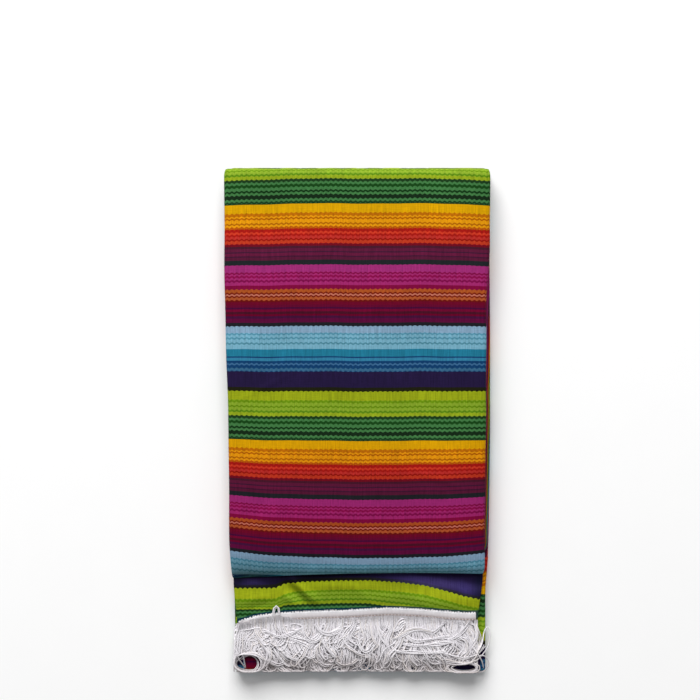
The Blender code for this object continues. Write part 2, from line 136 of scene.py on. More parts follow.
def headings(line: Array) -> tuple[Array, Array]:
    """Direction of a flat line, and the direction to its left, at each of its points."""
    run = unit(np.gradient(line, axis=0))
    return run, np.stack([-run[:, 1], run[:, 0]], axis=1)


def smooth(line: Array, times: int = 1) -> None:
    """Even out the inner points of a line in place."""
    for _ in range(times):
        line[1:-1] = 0.25 * line[:-2] + 0.5 * line[1:-1] + 0.25 * line[2:]


def resample(line: Array, step: float, least: int) -> tuple[Array, Array, Array]:
    """Space the points of a line evenly.

    Args:
        line: Its points.
        step: Distance between two points.
        least: Least number of points.

    Returns:
        The lengths at the old points, those at the new points, and the new points.
    """
    hops = np.linalg.norm(np.diff(line, axis=0), axis=1)
    lengths = np.concatenate([[0.0], np.cumsum(hops)])
    at = np.linspace(0.0, lengths[-1], max(least, int(lengths[-1] / step)))
    return lengths, at, np.stack([np.interp(at, lengths, axis) for axis in line.T], axis=1)


def cloth_uv(x: Array, y: Array) -> Array:
    """Map values in metres for places in mm."""
    return np.stack(np.broadcast_arrays(x * MM, y * MM), axis=-1)


# ---------------------------------------------------------------- the stack's own sizes

@dataclass(frozen=True)
class Bundle:
    """Sizes of the folded bundle in millimetres, as its solids have them."""

    half_width: float = 94.8
    half_length: float = 180.0
    wall: float = 1.4
    gap: float = 0.35
    groove: float = 0.9
    shelf_top: float = 8.4
    lower_top: float = 10.8
    fold_inner: float = 4.0
    fold_z: float = 17.65
    tuck: float = 6.0
    low_y: float = -110.0
    high_y: float = 178.4
    neck_low: float = -97.6
    neck_high: float = 166.6
    slant: float = 0.02
    bow: float = 2.5
    bow_middle: float = 0.4
    slant_fade: tuple[float, float] = (-60.0, -96.0)
    upper_left: SideLine = ((-105.0, -89.8), (-85.0, -91.3), (-15.0, -91.7), (20.0, -92.5),
                            (60.0, -93.9), (106.0, -94.8))
    upper_right: SideLine = ((-105.0, 89.6), (-60.0, 90.0), (0.0, 90.7), (88.0, 91.0),
                             (120.0, 93.6))
    lower_left: SideLine = ((-180.0, -87.4), (180.0, -92.4))
    lower_right: SideLine = ((-118.0, 91.2), (-100.0, 93.2), (-15.0, 94.5), (60.0, 94.5),
                             (180.0, 93.6))
    sag_places: tuple[float, ...] = (-178.0, -140.0, -112.0)
    sag_drops: tuple[float, ...] = (3.1, 2.1, 0.0)
    side_sag: float = 0.8
    side_reach: float = 16.0
    crown_sag: float = 1.1
    crown_reach: float = 26.0
    droop: float = 5.1
    left_droop: float = 0.65
    left_droop_x: tuple[float, float] = (-20.0, -80.0)
    droop_from_y: float = -90.0
    droop_from_z: float = 14.0
    side_ease: float = 9.0          # how far a side line's corners are eased

    @property
    def fold_outer(self) -> float:
        """Outer radius of the panel's end folds."""
        return self.fold_inner + self.wall

    @property
    def core_round(self) -> float:
        """Radius of the folded layers inside the panel's end folds."""
        return self.fold_inner - self.gap

    @property
    def core_top(self) -> float:
        """Height of the upper layers under the panel."""
        return self.fold_z + self.core_round

    @property
    def under_top(self) -> float:
        """Height of the upper face of the longest layer."""
        return self.shelf_top + self.gap + self.wall

    def side(self, line: SideLine, y: Array) -> Array:
        """X of a side edge, eased round the corners of its line.

        Args:
            line: Y and X of the line's corners, from the fringe end up.
            y: Places along the bundle.

        Returns:
            X at those places.
        """
        places, sides = zip(*line)
        y = np.asarray(y, float)
        return sum(w * np.interp(y + self.side_ease * k, places, sides)
                   for k, w in zip((-1.0, 0.0, 1.0), (0.25, 0.5, 0.25)))

    def pull(self, x: Array, y: Array) -> Array:
        """How far the lower fold of the upper bundle is drawn up, by its slant and its bow."""
        bow = self.bow * (self.bow_middle - (x / self.half_width) ** 2)
        return (self.slant * x + bow) * ease(self.slant_fade[0], self.slant_fade[1], y)

    def settle(self, x: Array, y: Array, z: Array, upper: bool = False) -> Array:
        """Let points of the level stack sag as the solids do.

        Args:
            x: X of the points.
            y: Y of the points.
            z: Height on the level stack.
            upper: True for the upper bundle.

        Returns:
            The settled points, with X, Y and Z in the last axis.
        """
        x, y, z = np.broadcast_arrays(*(np.asarray(v, float) for v in (x, y, z)))
        drop = np.interp(y, self.sag_places, self.sag_drops)
        edge = np.maximum(0.0, np.abs(x) - (self.half_width - self.side_reach))
        drop = drop + self.side_sag * (edge / self.side_reach) ** 2
        if upper:
            y = y + self.pull(x, y)
            rise = np.clip((z - self.lower_top) / (self.core_top - self.lower_top), 0.0, 1.0)
            side = np.maximum(0.0, np.abs(x) - (self.half_width - self.crown_reach))
            slope = np.maximum(0.0, self.droop_from_y - y)
            slope = slope / (self.droop_from_y - self.low_y)
            high = np.clip((z - self.droop_from_z) / (self.core_top - self.droop_from_z), 0, 1)
            droop = self.droop * (1.0 + self.left_droop * ease(*self.left_droop_x, x))
            z = (z - drop - self.crown_sag * (side / self.crown_reach) ** 2 * rise
                 - droop * slope ** 2 * high)
        else:
            z = z - drop * np.clip(z / self.shelf_top, 0.0, 1.0)
        return np.stack([x, y, z], axis=-1)


# ---------------------------------------------------------------- mesh helpers

def build_mesh(name: str, points: Array, quads: Array, uv: Array, uv_name: str = CLOTH_MAP,
               ) -> bpy.types.Object:
    """Make a smooth object from points in mm and faces of four corners.

    Args:
        name: Name of the object.
        points: One row of X, Y and Z for each point.
        quads: One row of four point numbers for each face.
        uv: One row of two map values for each point, or for each corner of each face.
        uv_name: Name of the map.

    Returns:
        The new object, linked to the scene.
    """
    mesh = bpy.data.meshes.new(name)
    mesh.vertices.add(len(points))
    mesh.vertices.foreach_set("co", (np.asarray(points) * MM).astype(np.float32).ravel())
    mesh.loops.add(4 * len(quads))
    corners = np.asarray(quads, dtype=np.int32).ravel()
    mesh.loops.foreach_set("vertex_index", corners)
    mesh.polygons.add(len(quads))
    mesh.polygons.foreach_set("loop_start", np.arange(0, 4 * len(quads), 4, dtype=np.int32))
    layer = mesh.uv_layers.new(name=uv_name)
    uv = np.asarray(uv, dtype=np.float32)
    layer.uv.foreach_set("vector", (uv[corners] if len(uv) == len(points) else uv).ravel())
    mesh.update(calc_edges=True)
    mesh.validate()
    mesh.shade_smooth()
    obj = bpy.data.objects.new(name, mesh)
    bpy.context.scene.collection.objects.link(obj)
    return obj


def grid_quads(rows: int, columns: int, start: int = 0, flip: bool = False) -> Array:
    """Faces of a grid of points.

    Args:
        rows: Number of rows of points.
        columns: Number of points in a row.
        start: Number of the grid's first point.
        flip: True to turn the faces over.

    Returns:
        One row of four point numbers for each face.
    """
    r, c = np.meshgrid(np.arange(rows - 1), np.arange(columns - 1), indexing="ij")
    a = (start + r * columns + c).ravel()
    quads = np.stack([a, a + 1, a + columns + 1, a + columns], axis=1)
    return quads[:, ::-1] if flip else quads


def shell(name: str, outer: Array, inner: Array, uv: Array) -> bpy.types.Object:
    """Make a closed sheet of cloth from two grids that face each other.

    Args:
        name: Name of the object.
        outer: Rows and columns of points on the outer face.
        inner: The same on the inner face.
        uv: Map values of the points, for both faces.

    Returns:
        The new object.
    """
    rows, columns = outer.shape[:2]
    count = rows * columns
    points = np.concatenate([outer.reshape(-1, 3), inner.reshape(-1, 3)])
    maps = np.concatenate([uv.reshape(-1, 2)] * 2)
    rim = np.concatenate([np.arange(columns), np.arange(1, rows) * columns + columns - 1,
                          (rows - 1) * columns + np.arange(columns - 2, -1, -1),
                          np.arange(rows - 2, 0, -1) * columns])
    ahead = np.roll(rim, -1)
    sides = np.stack([ahead, rim, rim + count, ahead + count], axis=1)
    quads = np.concatenate([grid_quads(rows, columns), grid_quads(rows, columns, count, True),
                            sides])
    return build_mesh(name, points, quads, maps)


def dress(obj: bpy.types.Object, material: bpy.types.Material, slot: Slot,
          *nodes: str) -> bpy.types.Object:
    """Give a piece its material, its body and the solids it stands for.

    Args:
        obj: The piece.
        material: Its material.
        slot: Its material slot in the record; not used.
        nodes: The solids that it replaces.

    Returns:
        The piece.
    """
    obj.data.materials.append(material)
    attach(obj, ROOT)
    if nodes:
        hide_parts(*nodes)
    LOG.info("%s: %d faces, stands for %s", obj.name, len(obj.data.polygons),
             ", ".join(nodes) or "nothing")
    return obj


# ---------------------------------------------------------------- node helpers

class Nodes:
    """Builds a material's nodes with few words."""

    def __init__(self, name: str) -> None:
        """Start a material with its shader.

        Args:
            name: Name of the material.
        """
        self.material = bpy.data.materials.new(name)
        self.material.use_nodes = True
        self.tree = self.material.node_tree
        self.shader = self.tree.nodes["Principled BSDF"]

    def put(self, socket: Socket, value: Input) -> None:
        """Fill an input.

        Args:
            socket: The input.
            value: A socket to link it to, a number, or a vector or colour of three.
        """
        if isinstance(value, Socket):
            self.tree.links.new(value, socket)
        elif isinstance(value, tuple):
            socket.default_value = (*value, 1.0)[:len(socket.default_value)]
        else:
            socket.default_value = float(value)

    def node(self, kind: str, inputs: dict[str | int, Input] | None = None,
             **settings: object) -> bpy.types.Node:
        """Add a node.

        Args:
            kind: Its kind, without the words that all kinds start with.
            inputs: What goes into its inputs, by name or number.
            settings: Its properties.

        Returns:
            The node.
        """
        made = self.tree.nodes.new("ShaderNode" + kind)
        for key, value in settings.items():
            setattr(made, key, value)
        for key, value in (inputs or {}).items():
            self.put(made.inputs[key], value)
        return made

    def math(self, operation: str, a: Input, b: Input = 0.0, c: Input = 0.0) -> Socket:
        """Result of a Math node with up to three values or sockets."""
        return self.node("Math", {0: a, 1: b, 2: c}, operation=operation).outputs[0]

    def times(self, *factors: Input) -> Socket:
        """Product of values and sockets."""
        return reduce(lambda a, b: self.math("MULTIPLY", a, b), factors)

    def around(self, value: Socket, spread: float, middle: float = 1.0) -> Socket:
        """A value from 0 to 1, spread evenly to both sides of a middle."""
        return self.math("MULTIPLY_ADD", value, spread, middle - 0.5 * spread)

    def clamp(self, value: Socket) -> Socket:
        """The value, kept from 0 to 1."""
        return self.math("MINIMUM", self.math("MAXIMUM", value, 0.0), 1.0)

    def mix(self, share: Input, a: Input, b: Input, blend: Blend = Blend.MIX) -> Socket:
        """Mix two colours.

        Args:
            share: Share of b.
            a: First colour.
            b: Second colour.
            blend: How b goes over a.

        Returns:
            The mixed colour.
        """
        made = self.node("Mix", data_type="RGBA", blend_type=blend.value)
        for number, value in ((0, share), (6, a), (7, b)):
            self.put(made.inputs[number], value)
        return made.outputs[2]

    def dim(self, colour: Input, light: Socket) -> Socket:
        """A colour times a brightness."""
        grey = self.node("CombineXYZ", {0: light, 1: light, 2: light})
        return self.mix(1.0, colour, grey.outputs[0], Blend.MULTIPLY)

    def split(self, vector: Socket) -> bpy.types.NodeOutputs:
        """The three parts of a vector."""
        return self.node("SeparateXYZ", {0: vector}).outputs

    def chart(self, name: str = CLOTH_MAP) -> tuple[Socket, Socket, Socket]:
        """Read a map of the mesh.

        Args:
            name: Name of the map.

        Returns:
            Its vector, and its places across and along in metres.
        """
        vector = self.node("UVMap", uv_map=name).outputs[0]
        u, v, _ = self.split(vector)
        return vector, u, v

    def noise(self, vector: Socket, scale: Colour, detail: float = 2.0) -> Socket:
        """A noise whose grains are stretched by a scale for each axis, from 0 to 1."""
        stretch = self.node("VectorMath", {0: vector, 1: scale}, operation="MULTIPLY")
        return self.node("TexNoise", {"Scale": 1.0, "Detail": detail,
                                      "Vector": stretch.outputs[0]}).outputs[0]

    def bump(self, depth: float, a: tuple[Socket, float], b: tuple[Socket, float]) -> Socket:
        """Surface relief from two heights.

        Args:
            depth: How deep a height of 1 is, in mm.
            a: First height, from 0 to 1, and its share.
            b: Second height and its share.

        Returns:
            The bumped normal.
        """
        height = self.math("ADD", self.times(*a), self.times(*b))
        return self.node("Bump", {"Strength": BUMP_STRENGTH, "Distance": depth * MM,
                                  "Height": height}).outputs[0]

    def surface(self, **inputs: Input) -> bpy.types.Material:
        """Fill the shader's inputs.

        Args:
            inputs: What goes into them; a name's blanks are written as underscores.

        Returns:
            The finished material.
        """
        for name, value in inputs.items():
            self.put(self.shader.inputs[name.replace("_", " ")], value)
        return self.material


# ---------------------------------------------------------------- the stripes

@dataclass(frozen=True)
class Band:
    """One colour of the stripe repeat: its width in mm, its colour and the height in mm of
    the teeth at its lower edge."""

    width: float
    colour: str
    teeth: float = 0.0


@dataclass(frozen=True)
class Line:
    """A thin woven zigzag line: where it starts in the repeat, its width and its colour."""

    start: float
    width: float
    colour: str


BANDS: tuple[Band, ...] = rows_of(
    Band, (6.3, "E2A802"), (10.9, "EC9D0C"), (10.9, "AE1A13"), (1.4, "780C20"), (2.1, "4C1A2E"),
    (1.8, "621B3C"), (1.0, "431A36"), (2.1, "681A3E"), (1.1, "421834"), (2.1, "5A1A38"),
    (3.4, "22272A", 0.3), (5.4, "A52E78"), (8.8, "A82A70"), (3.1, "86093F"), (7.5, "7A1C0A"),
    (1.1, "6E1012"), (2.5, "6E0628"), (1.4, "66062F"), (1.4, "4A0838"), (1.8, "720630"),
    (1.8, "4A1026"), (1.4, "6A0028"), (1.4, "44103A"), (3.2, "5C0A3A"), (2.6, "1E2026", 0.58),
    (4.8, "88A9C4"), (11.1, "79B1C8"), (5.2, "237C9A"), (0.9, "14386B"), (2.5, "3480A4"),
    (7.5, "12406E"), (10.9, "251A40"), (3.0, "20200E", 0.62), (6.4, "9CAA18"), (8.9, "8AAA2C"),
    (2.6, "98AE20"), (16.7, "447E46"), (0.7, "1A3C1C"))
LINES: tuple[Line, ...] = rows_of(
    Line, (6.3, 2.0, "BE6A04"), (9.5, 1.2, "B05A02"), (13.2, 1.2, "B06204"), (15.8, 1.4, "B85208"),
    (19.6, 1.5, "D83E26"), (22.8, 1.6, "C6342C"), (24.4, 1.1, "98140A"), (25.5, 2.4, "C83E22"),
    (48.5, 1.0, "80063F"), (50.6, 1.4, "8C0848"), (53.7, 1.4, "800848"), (60.5, 2.1, "B65824"),
    (63.6, 1.1, "CC7862"), (65.8, 2.0, "B65A2E"), (91.3, 1.3, "5090A8"), (94.5, 1.2, "4C8CA2"),
    (98.1, 1.1, "4A8698"), (112.7, 1.2, "40709A"), (116.2, 1.9, "3C6C8E"), (138.8, 1.7, "68900A"),
    (142.7, 1.3, "62880A"), (146.2, 1.5, "5A8A12"), (150.1, 2.1, "183416"), (153.9, 1.9, "10400F"),
    (158.0, 1.3, "062A0A"), (161.2, 2.6, "0C1A0E"), (165.5, 1.5, "12361A"))
REPEAT = sum(band.width for band in BANDS)


@dataclass(frozen=True)
class StripeChart:
    """The woven repeat, drawn from the cloth's map: u across and v along it, in metres."""

    pitch: float = 3.5
    tooth_scale: float = 1.0
    zigzag_height: float = 1.0
    tooth_reach: float = 1.7
    fray: float = 0.35
    cover: float = 0.92
    most_stops: int = 30

    def ramps(self, n: Nodes, place: Socket, stops: Sequence[tuple[float, Colour, float]],
              ) -> tuple[Socket, Socket]:
        """Colour steps along the repeat, split over as many ramps as they need.

        Args:
            n: The material's nodes.
            place: Place in the repeat in mm.
            stops: Start in mm, colour and cover of each step.

        Returns:
            The colour and its cover.
        """
        colour = cover = None
        for first in range(0, len(stops), self.most_stops):
            part = stops[first:first + self.most_stops]
            last = first + self.most_stops
            end = stops[last][0] if last < len(stops) else REPEAT
            start = part[0][0]
            share = n.math("DIVIDE", n.math("SUBTRACT", place, start), end - start)
            ramp = n.node("ValToRGB", {0: share})
            ramp.color_ramp.interpolation = "CONSTANT"
            elements = ramp.color_ramp.elements
            elements.remove(elements[1])
            for number, (at, rgb, alpha) in enumerate(part):
                position = (at - start) / (end - start)
                element = elements[0] if number == 0 else elements.new(position)
                element.position = position
                element.color = (*rgb, alpha)
            if colour is None:
                colour, cover = ramp.outputs
                continue
            later = n.math("GREATER_THAN", place, start)
            colour = n.mix(later, colour, ramp.outputs[0])
            cover = n.math("ADD", n.times(cover, n.math("SUBTRACT", 1.0, later)),
                           n.times(ramp.outputs[1], later))
        return colour, cover

    def place(self, n: Nodes, v: Socket, shift: Socket) -> Socket:
        """Place in the repeat in mm, moved by a shift in metres."""
        return n.math("DIVIDE", n.math("WRAP", n.math("ADD", v, shift), REPEAT * MM, 0.0), MM)

    def colour(self, n: Nodes, u: Socket, v: Socket, fray: Socket) -> Socket:
        """The woven colour at a place of the cloth.

        Args:
            n: The material's nodes.
            u: Place across the cloth in metres.
            v: Place along the stripes' repeat in metres.
            fray: A noise from 0 to 1 that roughens each edge.

        Returns:
            The colour.
        """
        along = n.math("WRAP", v, REPEAT * MM, 0.0)
        starts = np.cumsum([0.0] + [band.width for band in BANDS])
        near = 0.0
        for band, end in zip(BANDS, starts[1:]):
            if band.teeth:
                here = n.math("COMPARE", along, end * MM, self.tooth_reach * MM)
                near = n.math("MULTIPLY_ADD", here, band.teeth * MM, near)
        arch = n.math("ABSOLUTE", n.math("SINE", n.times(u, math.pi / (self.pitch * MM))))
        loose = n.around(fray, self.fray * MM, 0.0)
        tooth = n.around(arch, self.tooth_scale, 0.0)
        shift = n.math("MULTIPLY_ADD", tooth, near, loose)
        ground, _ = self.ramps(n, self.place(n, v, shift), [
            (start, srgb(band.colour), 1.0) for start, band in zip(starts, BANDS)])
        wave = n.math("PINGPONG", u, 0.5 * self.pitch * MM)
        wave = n.math("MULTIPLY_ADD", wave, 2.0 * self.zigzag_height / self.pitch,
                      -0.5 * self.zigzag_height * MM)
        stops = [(0.0, srgb(LINES[0].colour), 0.0)]
        for line in LINES:
            if math.isclose(stops[-1][0], line.start, abs_tol=0.01):
                stops.pop()
            stops.append((line.start, srgb(line.colour), 1.0))
            stops.append((line.start + line.width, srgb(line.colour), 0.0))
        thread, cover = self.ramps(n, self.place(n, v, n.math("ADD", wave, loose)), stops)
        return n.mix(n.times(cover, self.cover), ground, thread)


@dataclass(frozen=True)
class PaintedLight:
    """A soft shine or shade painted into the cloth's colour: middle and half sizes in mm on the
    cloth's map (the hem map where there is one), its slope, its colour and how it goes over the
    cloth. One that multiplies lies on every colour, the others only on the dark ones."""

    x: float
    y: float
    half_x: float
    half_y: float
    slope: float
    colour: str
    blend: Blend = Blend.ADD
    darkness: float = 12.0      # how fast it fades out as the cloth gets brighter

    def over(self, n: Nodes, colour: Socket, u: Socket, v: Socket) -> Socket:
        """Lay it over a colour.

        Args:
            n: The material's nodes.
            colour: The woven colour.
            u: Place across on the map in metres.
            v: Place along on the map in metres.

        Returns:
            The colour with the painted shine or shade.
        """
        across = n.math("SUBTRACT", u, self.x * MM)
        along = n.math("MULTIPLY_ADD", across, self.slope,
                       n.math("SUBTRACT", v, self.y * MM))
        squares = [n.math("POWER", n.math("DIVIDE", off, half * MM), 2.0)
                   for off, half in ((across, self.half_x), (along, self.half_y))]
        share = n.math("EXPONENT", n.times(n.math("ADD", *squares), -1.0))
        if self.blend is not Blend.MULTIPLY:
            green = n.node("SeparateColor", {0: colour}).outputs[1]
            dark = n.math("MAXIMUM", n.math("MULTIPLY_ADD", green, -self.darkness, 1.0), 0.0)
            share = n.times(share, dark)
        return n.mix(share, colour, srgb(self.colour), self.blend)


# painted shade: a darker lower-left corner where the panel turns under at its lower fold, and a
# darker lower half of the panel where less light falls
PANEL_PAINTED_SHADE: tuple[PaintedLight, ...] = rows_of(
    PaintedLight, (-78.0, 276.5, 30.0, 8.0, 0.0, "AA8165", Blend.MULTIPLY),
    (0.0, 210.0, 220.0, 34.0, 0.0, "EDDAE7", Blend.MULTIPLY))
# painted shadow under the panel's fold and at the flap's left and right edges (the first three
# rows), and painted violet sheen highlights on the violet band (the last three rows)
FLAP_PAINTED_LIGHT: tuple[PaintedLight, ...] = rows_of(
    PaintedLight, (-36.0, 22.0, 30.0, 7.0, 0.0, "08090C", Blend.MIX),
    (-86.0, 27.0, 6.0, 5.0, 0.0, "0C0E16", Blend.MIX),
    (86.0, 20.0, 4.5, 11.0, 0.0, "10142A", Blend.MIX),
    (54.0, 19.4, 28.0, 3.3, 0.065, "4C427E"), (76.0, 17.0, 6.0, 4.0, 0.3, "2E2A62"),
    (-77.0, 24.3, 9.5, 2.0, 0.27, "262145"))


@dataclass(frozen=True)
class ClothFinish:
    """Thin woven polyester in stripes, with painted shade in a dark line next to the hem tape
    where there is one, and painted shine and shade laid over the colour. A grain is how fine a
    noise is on each axis, and its share how far it changes the light."""

    name: str
    chart: StripeChart = StripeChart()
    brightness: float = 0.82
    roughness: float = 0.78
    # painted shade: a dark line along the top of the hem tape, where the tape shades the cloth;
    # its colour, width in mm and cover
    tape_shade_colour: str = ""
    tape_shade_width: float = 1.5
    tape_shade_cover: float = 0.85
    # painted shine and shade laid over the woven colour
    painted_light: tuple[PaintedLight, ...] = ()
    fray_grain: Colour = (1500.0, 900.0, 1.0)
    warp_grain: Colour = (1100.0, 70.0, 1.0)
    weft_grain: Colour = (160.0, 1500.0, 1.0)
    broad_grain: Colour = (26.0, 18.0, 1.0)
    warp_share: float = 0.85
    weft_share: float = 0.36
    broad_share: float = 0.34

    def material(self) -> bpy.types.Material:
        """Build the cloth's material.

        Returns:
            The material.
        """
        n = Nodes(self.name)
        place, u, v = n.chart()
        colour = self.chart.colour(n, u, v, n.noise(place, self.fray_grain, 1.0))
        # painted shade: a dark line along the top of the hem tape, where the tape shades the cloth
        if self.tape_shade_colour:
            _, u, v = n.chart(HEM_MAP)
            near = n.math("LESS_THAN", v, self.tape_shade_width * MM)
            colour = n.mix(n.times(near, self.tape_shade_cover), colour, srgb(self.tape_shade_colour))
        # lay the painted shine and shade over the colour
        for painted_spot in self.painted_light:
            colour = painted_spot.over(n, colour, u, v)
        warp = n.noise(place, self.warp_grain)
        weft = n.noise(place, self.weft_grain)
        broad = n.noise(place, self.broad_grain, 5.0)
        light = n.times(n.around(warp, self.warp_share), n.around(weft, self.weft_share),
                        n.around(broad, self.broad_share), self.brightness)
        return n.surface(Base_Color=n.dim(colour, light), Sheen_Weight=0.01,
                         Roughness=n.around(warp, 0.2, self.roughness), Sheen_Roughness=0.5,
                         Specular_IOR_Level=0.04, Normal=n.bump(0.22, (warp, 0.6), (weft, 0.4)))


@dataclass(frozen=True)
class YarnFinish:
    """Glossy twisted yarn, with painted shade that darkens it towards the fringe end. Its map runs
    along the yarn in metres and once round it.
    """

    name: str
    colour: str
    shade: str
    cream: str = "F1E8DF"
    cream_from: float = 0.58
    cream_share: float = 0.6
    # painted shade towards the fringe end: its greyish brown colour, the Y span in mm over which
    # it grows, and its share
    end_shade: str = "8C7C76"
    end_shade_y: tuple[float, float] = (-162.0, -180.0)
    end_shade_share: float = 0.46
    twist_pitch: float = 2.2
    roughness: float = 0.42

    def material(self) -> bpy.types.Material:
        """Build the yarn's material.

        Returns:
            The material.
        """
        n = Nodes(self.name)
        chart, u, v = n.chart()
        turn = n.math("ADD", n.math("DIVIDE", u, self.twist_pitch * MM), n.times(v, 2.0))
        ply = n.math("SINE", n.times(turn, 2.0 * math.pi))
        fibre = n.noise(chart, (300.0, 14.0, 1.0))
        broad = n.noise(chart, (28.0, 0.5, 1.0))
        shade = n.clamp(n.math("ADD", n.math("MULTIPLY_ADD", ply, -0.12, 0.26),
                               n.around(broad, 0.9, 0.0)))
        place = n.node("TexCoord").outputs["Object"]
        # painted shade: a greyish brown that darkens the yarn towards the fringe end, in patches
        low = n.node("MapRange", {"Value": n.split(place)[1], "From Min": self.end_shade_y[0] * MM,
                                  "From Max": self.end_shade_y[1] * MM},
                     interpolation_type="SMOOTHSTEP")
        patch = n.around(n.noise(place, (90.0, 90.0, 90.0)), 1.6)
        cream = n.math("GREATER_THAN", n.noise(chart, (11.0, 0.2, 1.0), 1.0), self.cream_from)
        colour = n.mix(n.times(cream, self.cream_share), srgb(self.colour), srgb(self.cream))
        colour = n.mix(shade, colour, srgb(self.shade))
        colour = n.mix(n.times(low.outputs[0], patch, self.end_shade_share), colour, srgb(self.end_shade))
        return n.surface(Base_Color=colour, Roughness=n.around(fibre, 0.16, self.roughness),
                         Sheen_Weight=0.8, Sheen_Roughness=0.4, Specular_IOR_Level=0.4,
                         Normal=n.bump(0.09, (ply, 0.5), (fibre, 0.4)))


@dataclass(frozen=True)
class BraidFinish:
    """White knitted braid with fine upright ribs and a stitched lower line."""

    name: str = "white_braid"
    colour: str = "F4F3F6"
    lower: str = "DAD0D0"
    rib: str = "8E8996"
    stitch: str = "94827A"
    rib_pitch: float = 0.95
    rib_share: float = 0.3
    seam: float = 5.0           # how far down the tape the stitches lie
    stitch_pitch: float = 1.2
    stitch_gap: float = 0.45
    stitch_share: float = 0.9

    def material(self) -> bpy.types.Material:
        """Build the braid's material; its map runs along the tape and down it, in metres.

        Returns:
            The material.
        """
        n = Nodes(self.name)
        chart, u, v = n.chart()
        half_rib = 0.5 * self.rib_pitch * MM
        rib = n.math("DIVIDE", n.math("PINGPONG", u, half_rib), half_rib)
        fuzz = n.noise(chart, (900.0, 500.0, 1.0), 3.0)
        down = n.clamp(n.math("DIVIDE", v, self.seam * MM))
        ground = n.mix(n.times(n.math("SUBTRACT", 1.0, rib), self.rib_share),
                       n.mix(down, srgb(self.colour), srgb(self.lower)), srgb(self.rib))
        seam = n.math("COMPARE", v, self.seam * MM, 0.5 * MM)
        dash = n.math("GREATER_THAN", n.math("PINGPONG", u, self.stitch_pitch * MM),
                      self.stitch_gap * MM)
        colour = n.mix(n.times(seam, dash, self.stitch_share), ground, srgb(self.stitch))
        return n.surface(Base_Color=colour, Roughness=n.around(fuzz, 0.3, 0.6),
                         Sheen_Weight=0.25, Normal=n.bump(0.25, (rib, 0.7), (fuzz, 0.5)))


@dataclass(frozen=True)
class FloorFinish:
    """Plain pale table top."""

    name: str = "pale_table"
    colour: str = "FDFDFD"

    def material(self) -> bpy.types.Material:
        """Build the table's material.

        Returns:
            The material.
        """
        n = Nodes(self.name)
        grain = n.noise(n.node("TexCoord").outputs["Object"], (30.0, 30.0, 30.0), 3.0)
        colour = n.dim(srgb(self.colour), n.around(grain, 0.02, 0.99))
        return n.surface(Base_Color=colour, Roughness=0.9)


# ---------------------------------------------------------------- cloth that shows

@dataclass(frozen=True)
class Crease:
    """A soft ridge or trough: its middle, length, turn, width and height, in mm and degrees."""

    x: float
    y: float
    length: float
    turn: float
    width: float
    height: float

    def at(self, x: Array, y: Array) -> Array:
        """Height of the crease at places of the cloth.

        Args:
            x: Places across.
            y: Places along.

        Returns:
            Its height there in mm.
        """
        run, off = turned(x, y, (self.x, self.y), self.turn)
        off = off + CREASE_BOW * run * run / self.length
        fade = np.clip(1.0 - (2.0 * run / self.length) ** 2, 0.0, 1.0)
        return self.height * fade * np.exp(-(off / self.width) ** 2)


@dataclass(frozen=True)
class Swell:
    """A broad rise or hollow: its middle, half sizes, turn and height, in mm and degrees."""

    x: float
    y: float
    half_x: float
    half_y: float
    turn: float
    height: float


@dataclass(frozen=True)
class StripePlace:
    """Where the chart lies along the cloth, and how far it is off at the two side edges."""

    y: float
    chart: float
    left: float
    right: float


